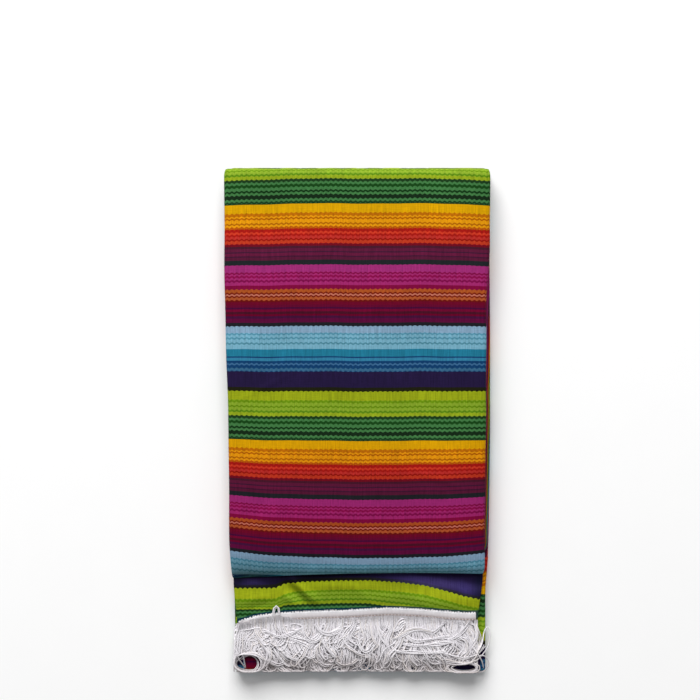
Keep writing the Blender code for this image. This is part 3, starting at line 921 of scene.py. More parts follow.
@dataclass
class TopPanel:
    """Striped cloth over the upper bundle, turned in under both end folds."""

    bundle: Bundle
    finish: ClothFinish
    cloth: float = 0.9
    spacing: float = 1.6
    hem_drop: float = 3.6
    hem_radius: float = 2.6
    hem_at_ends: float = 0.3
    hem_fade: float = 14.0
    corner: float = 0.8
    stripes: tuple[StripePlace, ...] = rows_of(
        StripePlace, (-150.0, 309.0, -2.5, -3.0), (-113.0, 270.6, -2.5, -3.0),
        (-97.2, 254.2, -5.9, -4.9), (-55.9, 210.8, -3.9, -2.9), (-14.6, 167.7, -1.6, -0.8),
        (20.4, 132.4, -0.5, -0.5), (66.8, 86.5, 0.4, 0.2), (110.3, 43.1, 0.9, 1.2),
        (153.3, 0.0, 1.6, 1.4), (210.0, -56.0, 2.4, 2.2))
    left_bend: float = 2.4
    right_bend: float = 3.6
    hem_points: int = 6
    hem_start: float = 2.0
    left_waver: Waves = ((0.12, 61.0, 0.3),)
    right_waver: Waves = ((0.12, 53.0, 1.1),)
    swell_across: Waves = ((0.22, 83.0, 0.5),)
    swell_along: Waves = ((1.0, 97.0, 1.7),)
    swell_fade: float = 6.0
    stripe_waver: Waves = ((0.16, 75.0, 0.9), (0.1, 31.0, 2.0))
    creases: tuple[Crease, ...] = rows_of(
        Crease, (-67.0, 23.0, 46.0, 26.0, 1.6, 0.42), (55.0, -41.0, 44.0, -20.0, 1.8, 0.5),
        (-70.0, -62.0, 26.0, 58.0, 2.6, -0.45), (-61.0, -68.0, 17.0, -14.0, 5.0, 0.75),
        (-40.0, 120.0, 60.0, 8.0, 5.0, 0.28), (48.0, 92.0, 70.0, -7.0, 6.5, -0.30),
        (10.0, 30.0, 90.0, 4.0, 8.0, 0.30), (-12.0, -78.0, 80.0, -3.0, 6.0, -0.34),
        (74.0, 40.0, 30.0, 72.0, 4.0, 0.30), (-78.0, 74.0, 34.0, -66.0, 4.5, -0.28))

    def path(self) -> tuple[Array, Array, Array, Array]:
        """The way round the bundle from one tucked end to the other.

        Returns:
            Length along the way, Y of its centre line, and how far out and up it faces.
        """
        b = self.bundle
        low, high = b.low_y + b.fold_outer, b.high_y - b.fold_outer
        arc = math.pi * b.fold_outer
        total = 2.0 * (b.tuck + arc) + high - low
        s = np.linspace(0.0, total, int(total / self.spacing) + 1)
        first = np.clip((s - b.tuck) / arc, 0.0, 1.0) * math.pi
        last = np.clip((s - b.tuck - arc - (high - low)) / arc, 0.0, 1.0) * math.pi
        y = low + np.clip(b.tuck - s, 0.0, None) + np.clip(s - b.tuck - arc, 0.0, high - low)
        y -= np.clip(s - (total - b.tuck), 0.0, None)
        out = -np.sin(first) + np.sin(last)
        up = np.where(s < total / 2.0, -np.cos(first), np.cos(last))
        return s, y, out, up

    def columns(self, wall: float) -> tuple[Array, Array, Array]:
        """Places across the panel, from hem to hem.

        Args:
            wall: How far inside the outer face.

        Returns:
            Share of the width, distance from the nearest edge and drop at each place.
        """
        r = self.hem_radius
        turns = np.linspace(0.0, math.pi / 2.0, self.hem_points)
        x = [wall, wall] + [r - (r - wall) * math.cos(a) for a in turns[1:]]
        drop = [self.hem_drop, r + 0.5] + [r - (r - wall) * math.sin(a) for a in turns[1:]]
        width = 2.0 * self.bundle.half_width
        flat = int((width - 2.0 * r) / self.spacing)
        side = np.concatenate([np.zeros(len(x)), (np.arange(1, flat)) / flat,
                               np.ones(len(x))])
        inset = np.array(x + [0.0] * (flat - 1) + [-v for v in reversed(x)])
        drops = np.array(drop + [wall] * (flat - 1) + list(reversed(drop)))
        return side, inset, drops

    def face(self, wall: float) -> tuple[Array, Array]:
        """One face of the cloth.

        Args:
            wall: How far inside the outer face.

        Returns:
            Its points and their map values.
        """
        b = self.bundle
        s, y, out, up = (v[:, None] for v in self.path())
        side, inset, drop = (v[None, :] for v in self.columns(wall))
        near = np.minimum(y - (b.low_y + b.fold_outer), b.high_y - b.fold_outer - y)
        share = ease(self.hem_start, self.hem_fade, near)
        share = self.hem_at_ends + (1.0 - self.hem_at_ends) * share
        share = np.where(np.abs(out) + (up < 0.0) > 0.001, self.hem_at_ends, share)
        drop = wall + (drop - wall) * share
        pulled = self.corner * out ** 2
        left = b.side(b.upper_left, y) + pulled + ripple(y, self.left_waver)
        right = b.side(b.upper_right, y) - pulled + ripple(y, self.right_waver)
        middle = (side > 0.0) & (side < 1.0)
        r = self.hem_radius
        x_flat = left + r + (right - left - 2.0 * r) * side
        x = np.where(middle, x_flat, np.where(side == 0.0, left + inset, right + inset))
        relief = sum(c.at(x, y) for c in self.creases)
        relief = relief + ripple(x, self.swell_across) * ripple(y, self.swell_along)
        relief = relief * ease(0.0, self.swell_fade, np.minimum(x - left, right - x))
        relief = relief * (up > 0.5)
        reach = b.fold_outer - drop + relief
        points = b.settle(x, y + out * reach, b.fold_z + up * reach, upper=True)
        unrolled = b.low_y + b.fold_outer + s - b.tuck - math.pi * b.fold_outer
        unrolled = unrolled + b.pull(x, y)
        across = x + np.where(side == 0.0, -drop, np.where(side == 1.0, drop, 0.0))
        return points, cloth_uv(across, self.chart(x, unrolled))

    def chart(self, x: Array, y: Array) -> Array:
        """Place in the stripe chart of each place of the cloth.

        Args:
            x: Places across.
            y: Places along the cloth, as if it lay unrolled.

        Returns:
            The place in the chart in mm.
        """
        rows = self.stripes
        places = [row.y for row in rows]
        left = np.interp(y, places, [row.left for row in rows])
        right = np.interp(y, places, [row.right for row in rows])
        share = np.clip(np.abs(x) / self.bundle.half_width, 0.0, 1.0)
        drop = np.where(x < 0.0, left * share ** self.left_bend, right * share ** self.right_bend)
        drop = drop + ripple(x, self.stripe_waver)
        return np.interp(y + drop, places, [row.chart for row in rows])

    def build(self) -> bpy.types.Object:
        """Build and dress the panel.

        Returns:
            The piece.
        """
        outer, uv = self.face(0.0)
        inner, _ = self.face(self.cloth)
        piece = shell("striped_top_cloth", outer, inner, uv)
        return dress(piece, self.finish.material(), Slot.STRIPED, "top_panel")

    def flat_size(self) -> tuple[float, float]:
        """Size of the cloth that shows, laid flat.

        Returns:
            Its width and length in metres.
        """
        b = self.bundle
        s = self.path()[0]
        width = b.side(b.upper_right, 0.0) - b.side(b.upper_left, 0.0) + 2.0 * self.hem_drop
        return float(width) * MM, float(s[-1]) * MM


@dataclass
class TapeLine:
    """Where the hem tape lies: X and Y of its top edge."""

    x: tuple[float, ...] = (-85.5, -73.4, -60.0, -40.6, -5.7, 21.0, 42.0, 65.6, 77.0, 85.0)
    y: tuple[float, ...] = (-143.4, -139.5, -137.5, -136.4, -135.2, -133.6, -134.4, -136.4,
                            -137.2, -137.0)
    width: float = 5.7
    thick: float = 1.25
    ease_step: float = 2.0
    ease_reach: float = 2.2
    root_lift: float = 0.4
    worn_lift: float = 3.6
    worn_x: tuple[float, float] = (-42.0, -58.0)
    held_reach: float = 1.2
    lower_held_reach: float = 0.8

    def top(self, x: Array) -> Array:
        """The tape's top edge, eased between its points.

        Args:
            x: Places across.

        Returns:
            Y of the edge there.
        """
        x = np.asarray(x, float)
        total, weight = 0.0, 0.0
        for k in range(-4, 5):
            w = math.exp(-(k / self.ease_reach) ** 2)
            total = total + w * np.interp(x + self.ease_step * k, self.x, self.y)
            weight += w
        return total / weight

    def below(self, x: Array) -> Array:
        """Y of the line just below the tape."""
        return self.top(x) - self.width

    def roots(self, x: Array) -> Array:
        """Y where the yarns come out, near the top edge at the tape's worn left end."""
        return self.below(x) + self.root_lift + self.worn_lift * ease(*self.worn_x, x)

    def held(self, x: Array) -> Array:
        """Y down to which the tape holds its yarns."""
        return self.roots(x) - self.held_reach

    def lower_held(self, x: Array) -> Array:
        """Y down to which the hidden tape holds its yarns."""
        return self.below(x) - self.lower_held_reach


@dataclass
class EndFlap:
    """The hem end of the cloth between the lower fold and the tape."""

    bundle: Bundle
    tape: TapeLine
    finish: ClothFinish
    start: float = -101.0
    left: SideLine = ((-141.0, -85.8), (-131.0, -87.6), (-117.0, -88.7), (-101.0, -88.9))
    right: SideLine = ((-137.0, 85.2), (-128.0, 87.0), (-114.0, 89.0), (-101.0, 89.3))
    under_tape: float = 4.6
    cloth: float = 1.0
    spacing: float = 1.05
    strip_thick: float = 1.1
    strip_ease: float = 0.25
    lime_start: float = 132.4       # where the repeat's lime band starts
    line_crowding: float = 1.4      # how the dark line next to it is crowded
    line_reach: float = 0.9         # by how much at most
    dark_reach: float = 13.4        # how far the dark bands go on under the fold
    swell_y: tuple[float, float] = (-112.0, -120.0)
    strip_y: tuple[float, float] = (-119.0, -129.0)
    crease_y: tuple[float, float] = (-107.0, -112.0)
    crease_off_tape: tuple[float, float] = (2.0, 7.0)
    deepest: float = -0.9           # share of the lift that a crease may take
    grid_length: float = 45.0
    slack: float = 1.03             # length of the cloth over its swells
    lime_x: tuple[float, ...] = (-88.0, -59.0, -52.0, -41.0, -12.8, 8.6, 29.9, 47.7, 65.5,
                                 74.5, 86.0)
    lime_y: tuple[float, ...] = (-119.9, -119.6, -116.6, -115.2, -114.2, -114.2, -115.7,
                                 -118.0, -122.6, -125.3, -127.6)
    forms: tuple[Swell, ...] = rows_of(
        Swell, (-62.0, -124.0, 34.0, 11.0, 0.0, 1.5), (12.0, -123.0, 52.0, 10.0, -3.0, 2.0),
        (66.0, -124.0, 26.0, 9.0, -10.0, 1.0), (-38.0, -123.0, 5.0, 12.0, 30.0, -1.3))
    creases: tuple[Crease, ...] = rows_of(
        Crease, (-43.0, -125.0, 30.0, -45.0, 2.4, -1.9), (-48.0, -128.0, 28.0, -45.0, 3.0, 1.3),
        (-38.5, -121.0, 32.0, -45.0, 3.0, 3.8), (-8.0, -116.2, 92.0, 0.0, 4.2, 1.5),
        (-14.0, -118.6, 66.0, 0.0, 7.0, 1.5), (64.0, -131.8, 56.0, -5.0, 4.2, 0.9),
        (-52.0, -117.5, 22.0, 26.0, 2.6, 0.7), (4.0, -119.5, 18.0, -48.0, 2.4, -0.65),
        (-1.5, -119.0, 18.0, -48.0, 2.4, 0.45), (34.0, -124.0, 30.0, -16.0, 3.0, 0.5),
        (62.0, -120.5, 40.0, -15.0, 2.2, -0.70), (56.0, -114.0, 50.0, -10.0, 2.2, 0.9),
        (76.0, -117.0, 16.0, -40.0, 1.8, 0.8), (84.0, -114.0, 24.0, -82.0, 1.4, 0.7),
        (-76.0, -115.5, 26.0, -12.0, 2.0, 0.80), (-74.0, -127.5, 24.0, 16.0, 2.2, 0.5),
        (-70.0, -132.5, 26.0, 18.0, 2.0, -0.5))

    def rise(self, x: Array, y: Array) -> Array:
        """Height of the flap's underside over the layer below it.

        Args:
            x: Places across.
            y: Places along.

        Returns:
            The height there in mm, as the solid has it.
        """
        rise = 0.0
        for form in self.forms:
            across, down = turned(x, y, (form.x, form.y), form.turn)
            across, down = across / form.half_x, down / form.half_y
            rise = rise + form.height * np.exp(-(across * across + down * down) * SWELL_FALL)
        lift = self.strip_thick + self.bundle.gap + self.strip_ease
        return np.maximum(0.0, rise) * ease(*self.swell_y, y) + ease(*self.strip_y, y) * lift

    def run(self, x: Array, y: Array) -> Array:
        """Length of cloth below the start of the lime band, less than 0 in the dark bands.

        Args:
            x: Places across.
            y: Places along.

        Returns:
            The length in mm, in which the bands are a little uneven as the cloth is gathered.
        """
        run = np.interp(x, self.lime_x, self.lime_y) - y
        middle = 1.0 + 0.10 * ease(30.0, 0.0, x) * ease(5.0, 10.0, run)
        left_side = 0.85 + 0.35 * ease(9.0, 16.0, run)
        run = run * (middle + (left_side - middle) * ease(-35.0, -60.0, x))
        crowded = np.maximum(self.line_crowding * run, run - self.line_reach)
        return np.maximum(np.where(run < 0.0, crowded, run), -self.dark_reach)

    def top_height(self, x: Array, y: Array) -> Array:
        """Height of the flap's upper face.

        Args:
            x: Places across.
            y: Places along.

        Returns:
            The height there on the level stack.
        """
        b = self.bundle
        free = ease(*self.crease_y, y) * ease(*self.crease_off_tape, y - self.tape.below(x))
        detail = sum(c.at(x, y) for c in self.creases) * free
        lift = self.rise(x, y)
        return b.under_top + b.gap + b.wall + lift + np.maximum(detail, self.deepest * lift)

    def build(self) -> bpy.types.Object:
        """Build and dress the flap.

        Returns:
            The piece.
        """
        b = self.bundle
        widest = (self.left[-1][1], self.right[-1][1])
        share = np.linspace(0.0, 1.0, int((widest[1] - widest[0]) / self.spacing) + 1)[None, :]
        near_x = widest[0] + (widest[1] - widest[0]) * share
        end = self.tape.top(near_x) - self.under_tape
        t = np.linspace(0.0, 1.0, int(self.grid_length / self.spacing) + 1)[:, None]
        y = end + (self.start - end) * t
        left, right = b.side(self.left, y), b.side(self.right, y)
        x = left + (right - left) * share
        x, y = np.broadcast_arrays(x, y)
        top = self.top_height(x, y)
        outer = b.settle(x, y, top)
        inner = b.settle(x, y, top - self.cloth)
        piece = shell("striped_end_flap", outer, inner,
                      cloth_uv(x, self.lime_start + self.run(x, y)))
        corner_points = np.empty(4 * len(piece.data.polygons), dtype=np.int32)
        piece.data.loops.foreach_get("vertex_index", corner_points)
        hem = cloth_uv(x, y - self.tape.top(x)).reshape(-1, 2)
        hem = np.concatenate([hem, hem])[corner_points].astype(np.float32)
        piece.data.uv_layers.new(name=HEM_MAP).uv.foreach_set("vector", hem.ravel())
        return dress(piece, self.finish.material(), Slot.STRIPED, "end_flap")

    def flat_size(self) -> tuple[float, float]:
        """Width and length in metres of the cloth that shows."""
        length = self.start - float(np.mean(self.tape.y)) + self.under_tape
        return (self.right[-1][1] - self.left[-1][1]) * MM, length * MM * self.slack


@dataclass
class UnderLayer:
    """The longest layer, seen round the flap and fringe and turned down over the end."""

    bundle: Bundle
    finish: ClothFinish
    cloth: float = 1.0
    spacing: float = 1.5
    start: float = -98.2
    turn: float = 3.0
    hem_low: float = 3.2
    phase_y: float = -124.5         # where the repeat starts, running upwards
    ply_reach: float = 16.0         # how far up from the turn the other plies show
    ply_past: float = 2.4           # and how far past it
    ply_edge: float = 0.05          # half the step between their stripes and the end's
    crowding: float = 1.06
    columns: int = 120
    side_insets: tuple[float, float] = (0.8, 0.4)
    sway_across: Waves = ((0.15, 47.0, 0.6),)
    sway_along: Waves = ((1.0, 33.0, 0.2),)
    end_waver: Waves = ((0.3, 71.0, 1.0),)
    # from one x to another, another ply shows, with its own start of the repeat
    plies: tuple[tuple[float, float, float], ...] = (
        (-82.0, -60.0, -242.6), (-99.0, -82.0, -287.0), (60.0, 86.5, -132.5))

    def build(self) -> bpy.types.Object:
        """Build and dress the layer.

        Returns:
            The piece.
        """
        b = self.bundle
        end, top = -b.half_length, b.under_top
        arc = self.turn * math.pi / 2.0
        flat = self.start - (end + self.turn)
        down = top - self.turn - self.hem_low
        edge = flat + self.ply_past
        s = np.linspace(0.0, flat + arc + down, int((flat + arc + down) / self.spacing))
        s = np.sort(np.append(s, (edge - self.ply_edge, edge + self.ply_edge)))[:, None]
        angle = np.clip((s - flat) / arc, 0.0, 1.0) * math.pi / 2.0
        faces = []
        for wall in (0.0, self.cloth):
            r = self.turn - wall
            y = self.start - np.clip(s, 0.0, flat) - r * np.sin(angle)
            z = top - self.turn + r * np.cos(angle) - np.clip(s - flat - arc, 0.0, None)
            left = b.side(b.lower_left, y) + self.side_insets[0]
            right = b.side(b.lower_right, y) - self.side_insets[1]
            t = np.linspace(0.0, 1.0, self.columns)[None, :]
            x = left + (right - left) * t
            x, y, z = np.broadcast_arrays(x, y, z)
            sway = ripple(x, self.sway_across) * ripple(y, self.sway_along)
            faces.append(b.settle(x, y + ripple(x, self.end_waver) * (s > flat),
                                  z + sway * (s < flat)))
        phase = np.full(x.shape, self.phase_y)
        bare = (s > flat - self.ply_reach) & (s < edge)
        for from_x, to_x, own in self.plies:
            phase = np.where((x > from_x) & (x <= to_x) & bare, own, phase)
        uv = cloth_uv(x, (self.start - s - phase) * self.crowding)
        outer, inner = faces
        piece = shell("striped_under_layer", outer[::-1], inner[::-1], uv[::-1])
        return dress(piece, self.finish.material(), Slot.FOLDED, "under_layer")

    def flat_size(self) -> tuple[float, float]:
        """Size of the cloth that shows, laid flat.

        Returns:
            Its width and length in metres.
        """
        b = self.bundle
        length = self.start + b.half_length + b.under_top - self.hem_low
        width = b.side(b.lower_right, self.start) - b.side(b.lower_left, self.start)
        return float(width) * MM, length * MM


# ---------------------------------------------------------------- the folded layers

@dataclass(frozen=True)
class Layer:
    """Plies that share an outline: their thickness, how far the left and right edge are set in,
    their number, their stripes' phase and direction, how far the lower and upper edge are set
    in, and whether they are as wide as the lower stack."""

    thick: float
    left: float
    right: float
    plies: int
    phase: float
    way: float
    low: float = 0.0
    high: float = 0.0
    wide: bool = False


@dataclass(frozen=True)
class Level:
    """One outline of a stack, its height, and its stripes' phase and direction."""

    outline: Array
    z: float
    phase: float
    way: float


@dataclass
class FoldedStack:
    """The hidden layers, a finer stack of thin plies with rounded fold lips."""

    bundle: Bundle
    finish: ClothFinish
    rim_step: float = 2.4
    ply_groove: float = 0.5
    ply_shift: float = 6.0          # how far a ply's stripes are off those of the ply below
    seed: int = 12
    lower_rows: tuple[Layer, ...] = rows_of(
        Layer, (2.1, 1.4, 0.9, 3, 35.5, 1.0, 0.2, 0.6, True),
        (2.1, 0.2, 0.3, 3, 120.0, -1.0, 1.9, 0.0, True),
        (2.1, 0.9, 0.0, 3, 35.5, 1.0, 1.9, 0.9, True),
        (2.1, 0.0, 0.5, 3, 35.5, 1.0, 1.9, 0.3, True))
    upper_rows: tuple[Layer, ...] = rows_of(
        Layer, (2.9, 1.1, 0.2, 3, 35.5, 1.0, 0.0, 0.0, True), (1.6, 1.2, 0.6, 2, 153.4, -1.0),
        (1.6, 0.4, 1.0, 2, 60.0, 1.0), (2.4, 1.4, 0.3, 3, 153.4, -1.0),
        (2.4, 0.5, 0.9, 3, 96.0, 1.0), (2.5, 2.9, 2.9, 3, 153.4, -1.0))
    lower_corner: float = 4.0
    upper_corner: float = 10.0
    sunk: float = 0.5               # how far the upper stack goes into the lower one
    high_end_inset: float = 0.6
    end_play: float = 0.12
    cap_steps: tuple[float, ...] = (0.8, 0.4, 0.12)
    uv_lean: float = 3.0            # how far the map moves across for each mm of height

    def waver(self, seed: int, turn: Array) -> Array:
        """How far an edge wavers inwards.

        Args:
            seed: Seed of its waves.
            turn: Angles round the stack.

        Returns:
            The distance there in mm.
        """
        own = np.random.default_rng(seed)
        waves = tuple((own.uniform(0.1, 0.28), own.uniform(0.12, 0.5), own.uniform(0, TURN))
                      for _ in range(4))
        return np.maximum(0.0, ripple(turn, waves))

    def rim(self, sides: tuple[SideLine, SideLine], ends: tuple[float, float],
            insets: tuple[float, float], corner: float, seed: int) -> Array:
        """One level's outline, once round.

        Args:
            sides: X of the left and the right edge at both ends.
            ends: Y of the lower and the upper edge.
            insets: How far the left and right edges are set in.
            corner: Corner radius.
            seed: Seed of the edge's wavering.

        Returns:
            X and Y of its points.
        """
        b = self.bundle
        low, high = ends
        count = int(2.0 * b.half_length / self.rim_step)
        a = np.linspace(0.0, math.pi / 2.0, 7)
        bend = corner * (1.0 - np.cos(a))
        straight = np.linspace(low + corner, high - corner, count)[1:-1]
        y = np.concatenate([low + bend, straight, high - bend[::-1]])
        near = np.maximum(0.0, corner - np.minimum(y - low, high - y))
        cut = corner - np.sqrt(np.maximum(0.0, corner ** 2 - near ** 2))
        left = b.side(sides[0], y) + insets[0] + cut
        right = b.side(sides[1], y) - insets[1] - cut
        across = np.linspace(0.0, 1.0, count // 2)[1:-1]
        low_x = left[0] + (right[0] - left[0]) * across
        high_x = right[-1] + (left[-1] - right[-1]) * across
        x = np.concatenate([low_x, right, high_x, left[::-1]])
        yy = np.concatenate([np.full_like(low_x, low), y, np.full_like(high_x, high), y[::-1]])
        pull = self.waver(seed, np.arctan2(yy / b.half_length, x / b.half_width))
        x = x - np.sign(x) * pull * ease(0.55, 1.0, np.abs(x) / b.half_width)
        yy = yy - np.sign(yy) * pull * ease(0.8, 1.0, np.abs(yy) / b.half_length)
        return np.stack([x, yy], axis=1)

    def solid(self, name: str, levels: Sequence[Level]) -> bpy.types.Object:
        """A closed stack from its levels.

        Args:
            name: Name of the object.
            levels: Its levels from the bottom up.

        Returns:
            The new object.
        """
        rings = [self.settled(level.outline, level) for level in levels]
        maps = [cloth_uv(level.outline[:, 0] + self.uv_lean * level.z,
                         (level.outline[:, 1] - level.phase) * level.way) for level in levels]
        count = len(rings[0])
        base = np.arange(count)
        ahead = np.roll(base, -1)
        quads = [np.stack([base, ahead, ahead + count, base + count], axis=1) + k * count
                 for k in range(len(rings) - 1)]
        start = count * len(rings)
        for number, turn in ((0, -1), (len(levels) - 1, 1)):
            ring, previous = rings[number][:, :2], base + number * count
            centre = ring.mean(axis=0)
            for step in self.cap_steps:
                shrunk = centre + (ring - centre) * step
                rings.append(self.settled(shrunk, levels[number]))
                maps.append(cloth_uv(shrunk[:, 0], shrunk[:, 1]))
                new = start + base
                quads.append(np.stack([previous, np.roll(previous, -1), np.roll(new, -1), new],
                                      axis=1)[:, ::turn])
                previous = new
                start += count
            quads.append(np.array([(previous[k], previous[k + 1], previous[count - 2 - k],
                                    previous[count - 1 - k])
                                   for k in range(count // 2 - 1)])[:, ::turn])
        return build_mesh(name, np.concatenate(rings), np.concatenate(quads),
                          np.concatenate(maps))

    def settled(self, outline: Array, level: Level) -> Array:
        """Points of an outline on the sagging bundle."""
        lifted = level.z > self.bundle.lower_top - EDGE_PLAY
        return self.bundle.settle(outline[:, 0], outline[:, 1], level.z, lifted)

    def ply_levels(self, bottom: float, row: Layer,
                   rng: np.random.Generator) -> list[tuple[float, float, int]]:
        """Heights through the plies of one layer.

        Args:
            bottom: Height of the layer's underside.
            row: The layer.
            rng: Source of the plies' uneven edges.

        Returns:
            Height, depth under the layer's outline and ply number of each level.
        """
        levels = []
        step = row.thick / row.plies
        for ply in range(row.plies):
            low = bottom + ply * step
            groove = self.bundle.groove if ply == 0 else self.ply_groove
            own = float(rng.uniform(0.0, 0.35))
            levels += [(low, groove, ply), (low + 0.3 * step, 0.08 + own, ply),
                       (low + 0.7 * step, own, ply)]
        return levels

    def levels(self, rows: Sequence[Layer], bottom: float, corner: float,
               seeds: tuple[int, int], ends: Callable[[Layer, float, float], tuple[float, float]],
               rng: np.random.Generator) -> list[Level]:
        """All levels of a stack, from the bottom up.

        Args:
            rows: Its layers.
            bottom: Height of its underside.
            corner: Corner radius of its outlines.
            seeds: Seeds of the edges' wavering, from the first ply on and for the top.
            ends: Y of both ends, from the layer, the height and the depth of the groove.
            rng: Source of the plies' uneven edges.

        Returns:
            The levels.
        """
        b = self.bundle
        found = []
        for number, row in enumerate(rows):
            sides = (b.lower_left, b.lower_right) if row.wide else (b.upper_left, b.upper_right)
            places = [(z, cut, ply, seeds[0] + 10 * number + ply)
                      for z, cut, ply in self.ply_levels(bottom, row, rng)]
            bottom += row.thick
            if number == len(rows) - 1:
                places.append((bottom, b.groove, 0, seeds[1]))
            for z, cut, ply, seed in places:
                outline = self.rim(sides, ends(row, z, cut), (row.left + cut, row.right + cut),
                                   corner, seed)
                found.append(Level(outline, z, row.phase + self.ply_shift * ply, row.way))
        return found

    def build(self) -> list[bpy.types.Object]:
        """Build and dress both stacks.

        Returns:
            The lower and the upper piece.
        """
        rng = np.random.default_rng(self.seed)
        lower = self.levels(self.lower_rows, 0.0, self.lower_corner, (0, 99), self.lower_ends,
                            rng)
        upper = self.levels(self.upper_rows, self.bundle.shelf_top - self.sunk,
                            self.upper_corner, (200, 399), self.upper_ends, rng)
        material = self.finish.material()
        return [dress(self.solid(name, levels), material, Slot.FOLDED, "folded_layers")
                for name, levels in (("folded_lower_layers", lower),
                                     ("folded_upper_layers", upper))]

    def lower_ends(self, row: Layer, _: float, cut: float) -> tuple[float, float]:
        """Y of the lower stack's ends; it is as long at every height."""
        half = self.bundle.half_length
        return -half + row.low + cut, half - row.high - cut

    def upper_ends(self, _: Layer, z: float, cut: float) -> tuple[float, float]:
        """Where the upper stack ends along Y, inside the panel's end folds.

        Args:
            _: The layer, as all of them end alike.
            z: Height on the level stack.
            cut: Depth of the groove there.

        Returns:
            Y of the lower and of the upper end.
        """
        b = self.bundle
        if z < b.lower_top - EDGE_PLAY:
            return b.neck_low + cut, b.half_length - self.high_end_inset - cut
        reach = b.core_round ** 2 - (z - b.fold_z) ** 2
        if reach <= 0.05:
            if z > b.fold_z:
                return b.low_y + b.fold_outer, b.high_y - b.fold_outer
            return b.neck_low, b.neck_high
        bulge = math.sqrt(reach) - self.end_play
        return b.low_y + b.fold_outer - bulge, b.high_y - b.fold_outer + bulge


# ---------------------------------------------------------------- tape and fringe

@dataclass
class YarnBatch:
    """Many yarns joined as one mesh."""

    name: str
    sides: int = 6
    step: float = 2.0
    flat: float = 1.0
    map_step: float = 0.4       # how far apart two yarns' maps start, for each point, in mm
    points: list[Array] = field(default_factory=list)
    quads: list[Array] = field(default_factory=list)
    uv: list[Array] = field(default_factory=list)
    total: int = 0

    def add(self, way: Array, radius: Array | float, ends: float = 0.55) -> None:
        """Add one yarn as a tube.

        Args:
            way: Its centre line.
            radius: Its radius, one for the yarn or one for each point of its way.
            ends: Share of the radius that is left at both ends.
        """
        lengths, at, line = resample(way, self.step, 4)
        count = len(at)
        thick = np.interp(at, lengths, np.broadcast_to(radius, (len(way),)))
        thick[[0, -1]] *= ends
        run = unit(np.gradient(line, axis=0))
        side = unit(np.cross(run, np.array([0.0, 0.0, 1.0])))
        up = np.cross(side, run)
        angle = 2.0 * np.pi * np.arange(self.sides) / self.sides
        ring = (self.flat * np.cos(angle)[None, :, None] * side[:, None, :]
                + np.sin(angle)[None, :, None] * up[:, None, :])
        tube = line[:, None, :] + thick[:, None, None] * ring
        self.points.append(tube.reshape(-1, 3))
        row = np.arange(count - 1)[:, None] * self.sides
        base = row + np.arange(self.sides)[None, :]
        ahead = row + np.roll(np.arange(self.sides), -1)[None, :]
        quads = np.stack([base, base + self.sides, ahead + self.sides, ahead], axis=-1)
        self.quads.append(quads.reshape(-1, 4) + self.total)
        shift = self.map_step * MM * self.total
        start, end = at[:-1, None] * MM + shift, at[1:, None] * MM + shift
        low = (np.arange(self.sides) / self.sides)[None, :]
        high = low + 1.0 / self.sides
        corners_uv = [np.broadcast_arrays(start, low), np.broadcast_arrays(end, low),
                      np.broadcast_arrays(end, high), np.broadcast_arrays(start, high)]
        uv = np.stack([np.stack(pair, axis=-1) for pair in corners_uv], axis=2)
        self.uv.append(uv.reshape(-1, 2))
        self.total += count * self.sides

    def build(self, material: bpy.types.Material, *nodes: str) -> bpy.types.Object:
        """Make and dress the mesh.

        Args:
            material: Its material.
            nodes: The solids that it replaces.

        Returns:
            The piece.
        """
        piece = build_mesh(self.name, np.concatenate(self.points), np.concatenate(self.quads),
                           np.concatenate(self.uv))
        return dress(piece, material, Slot.YARN, *nodes)


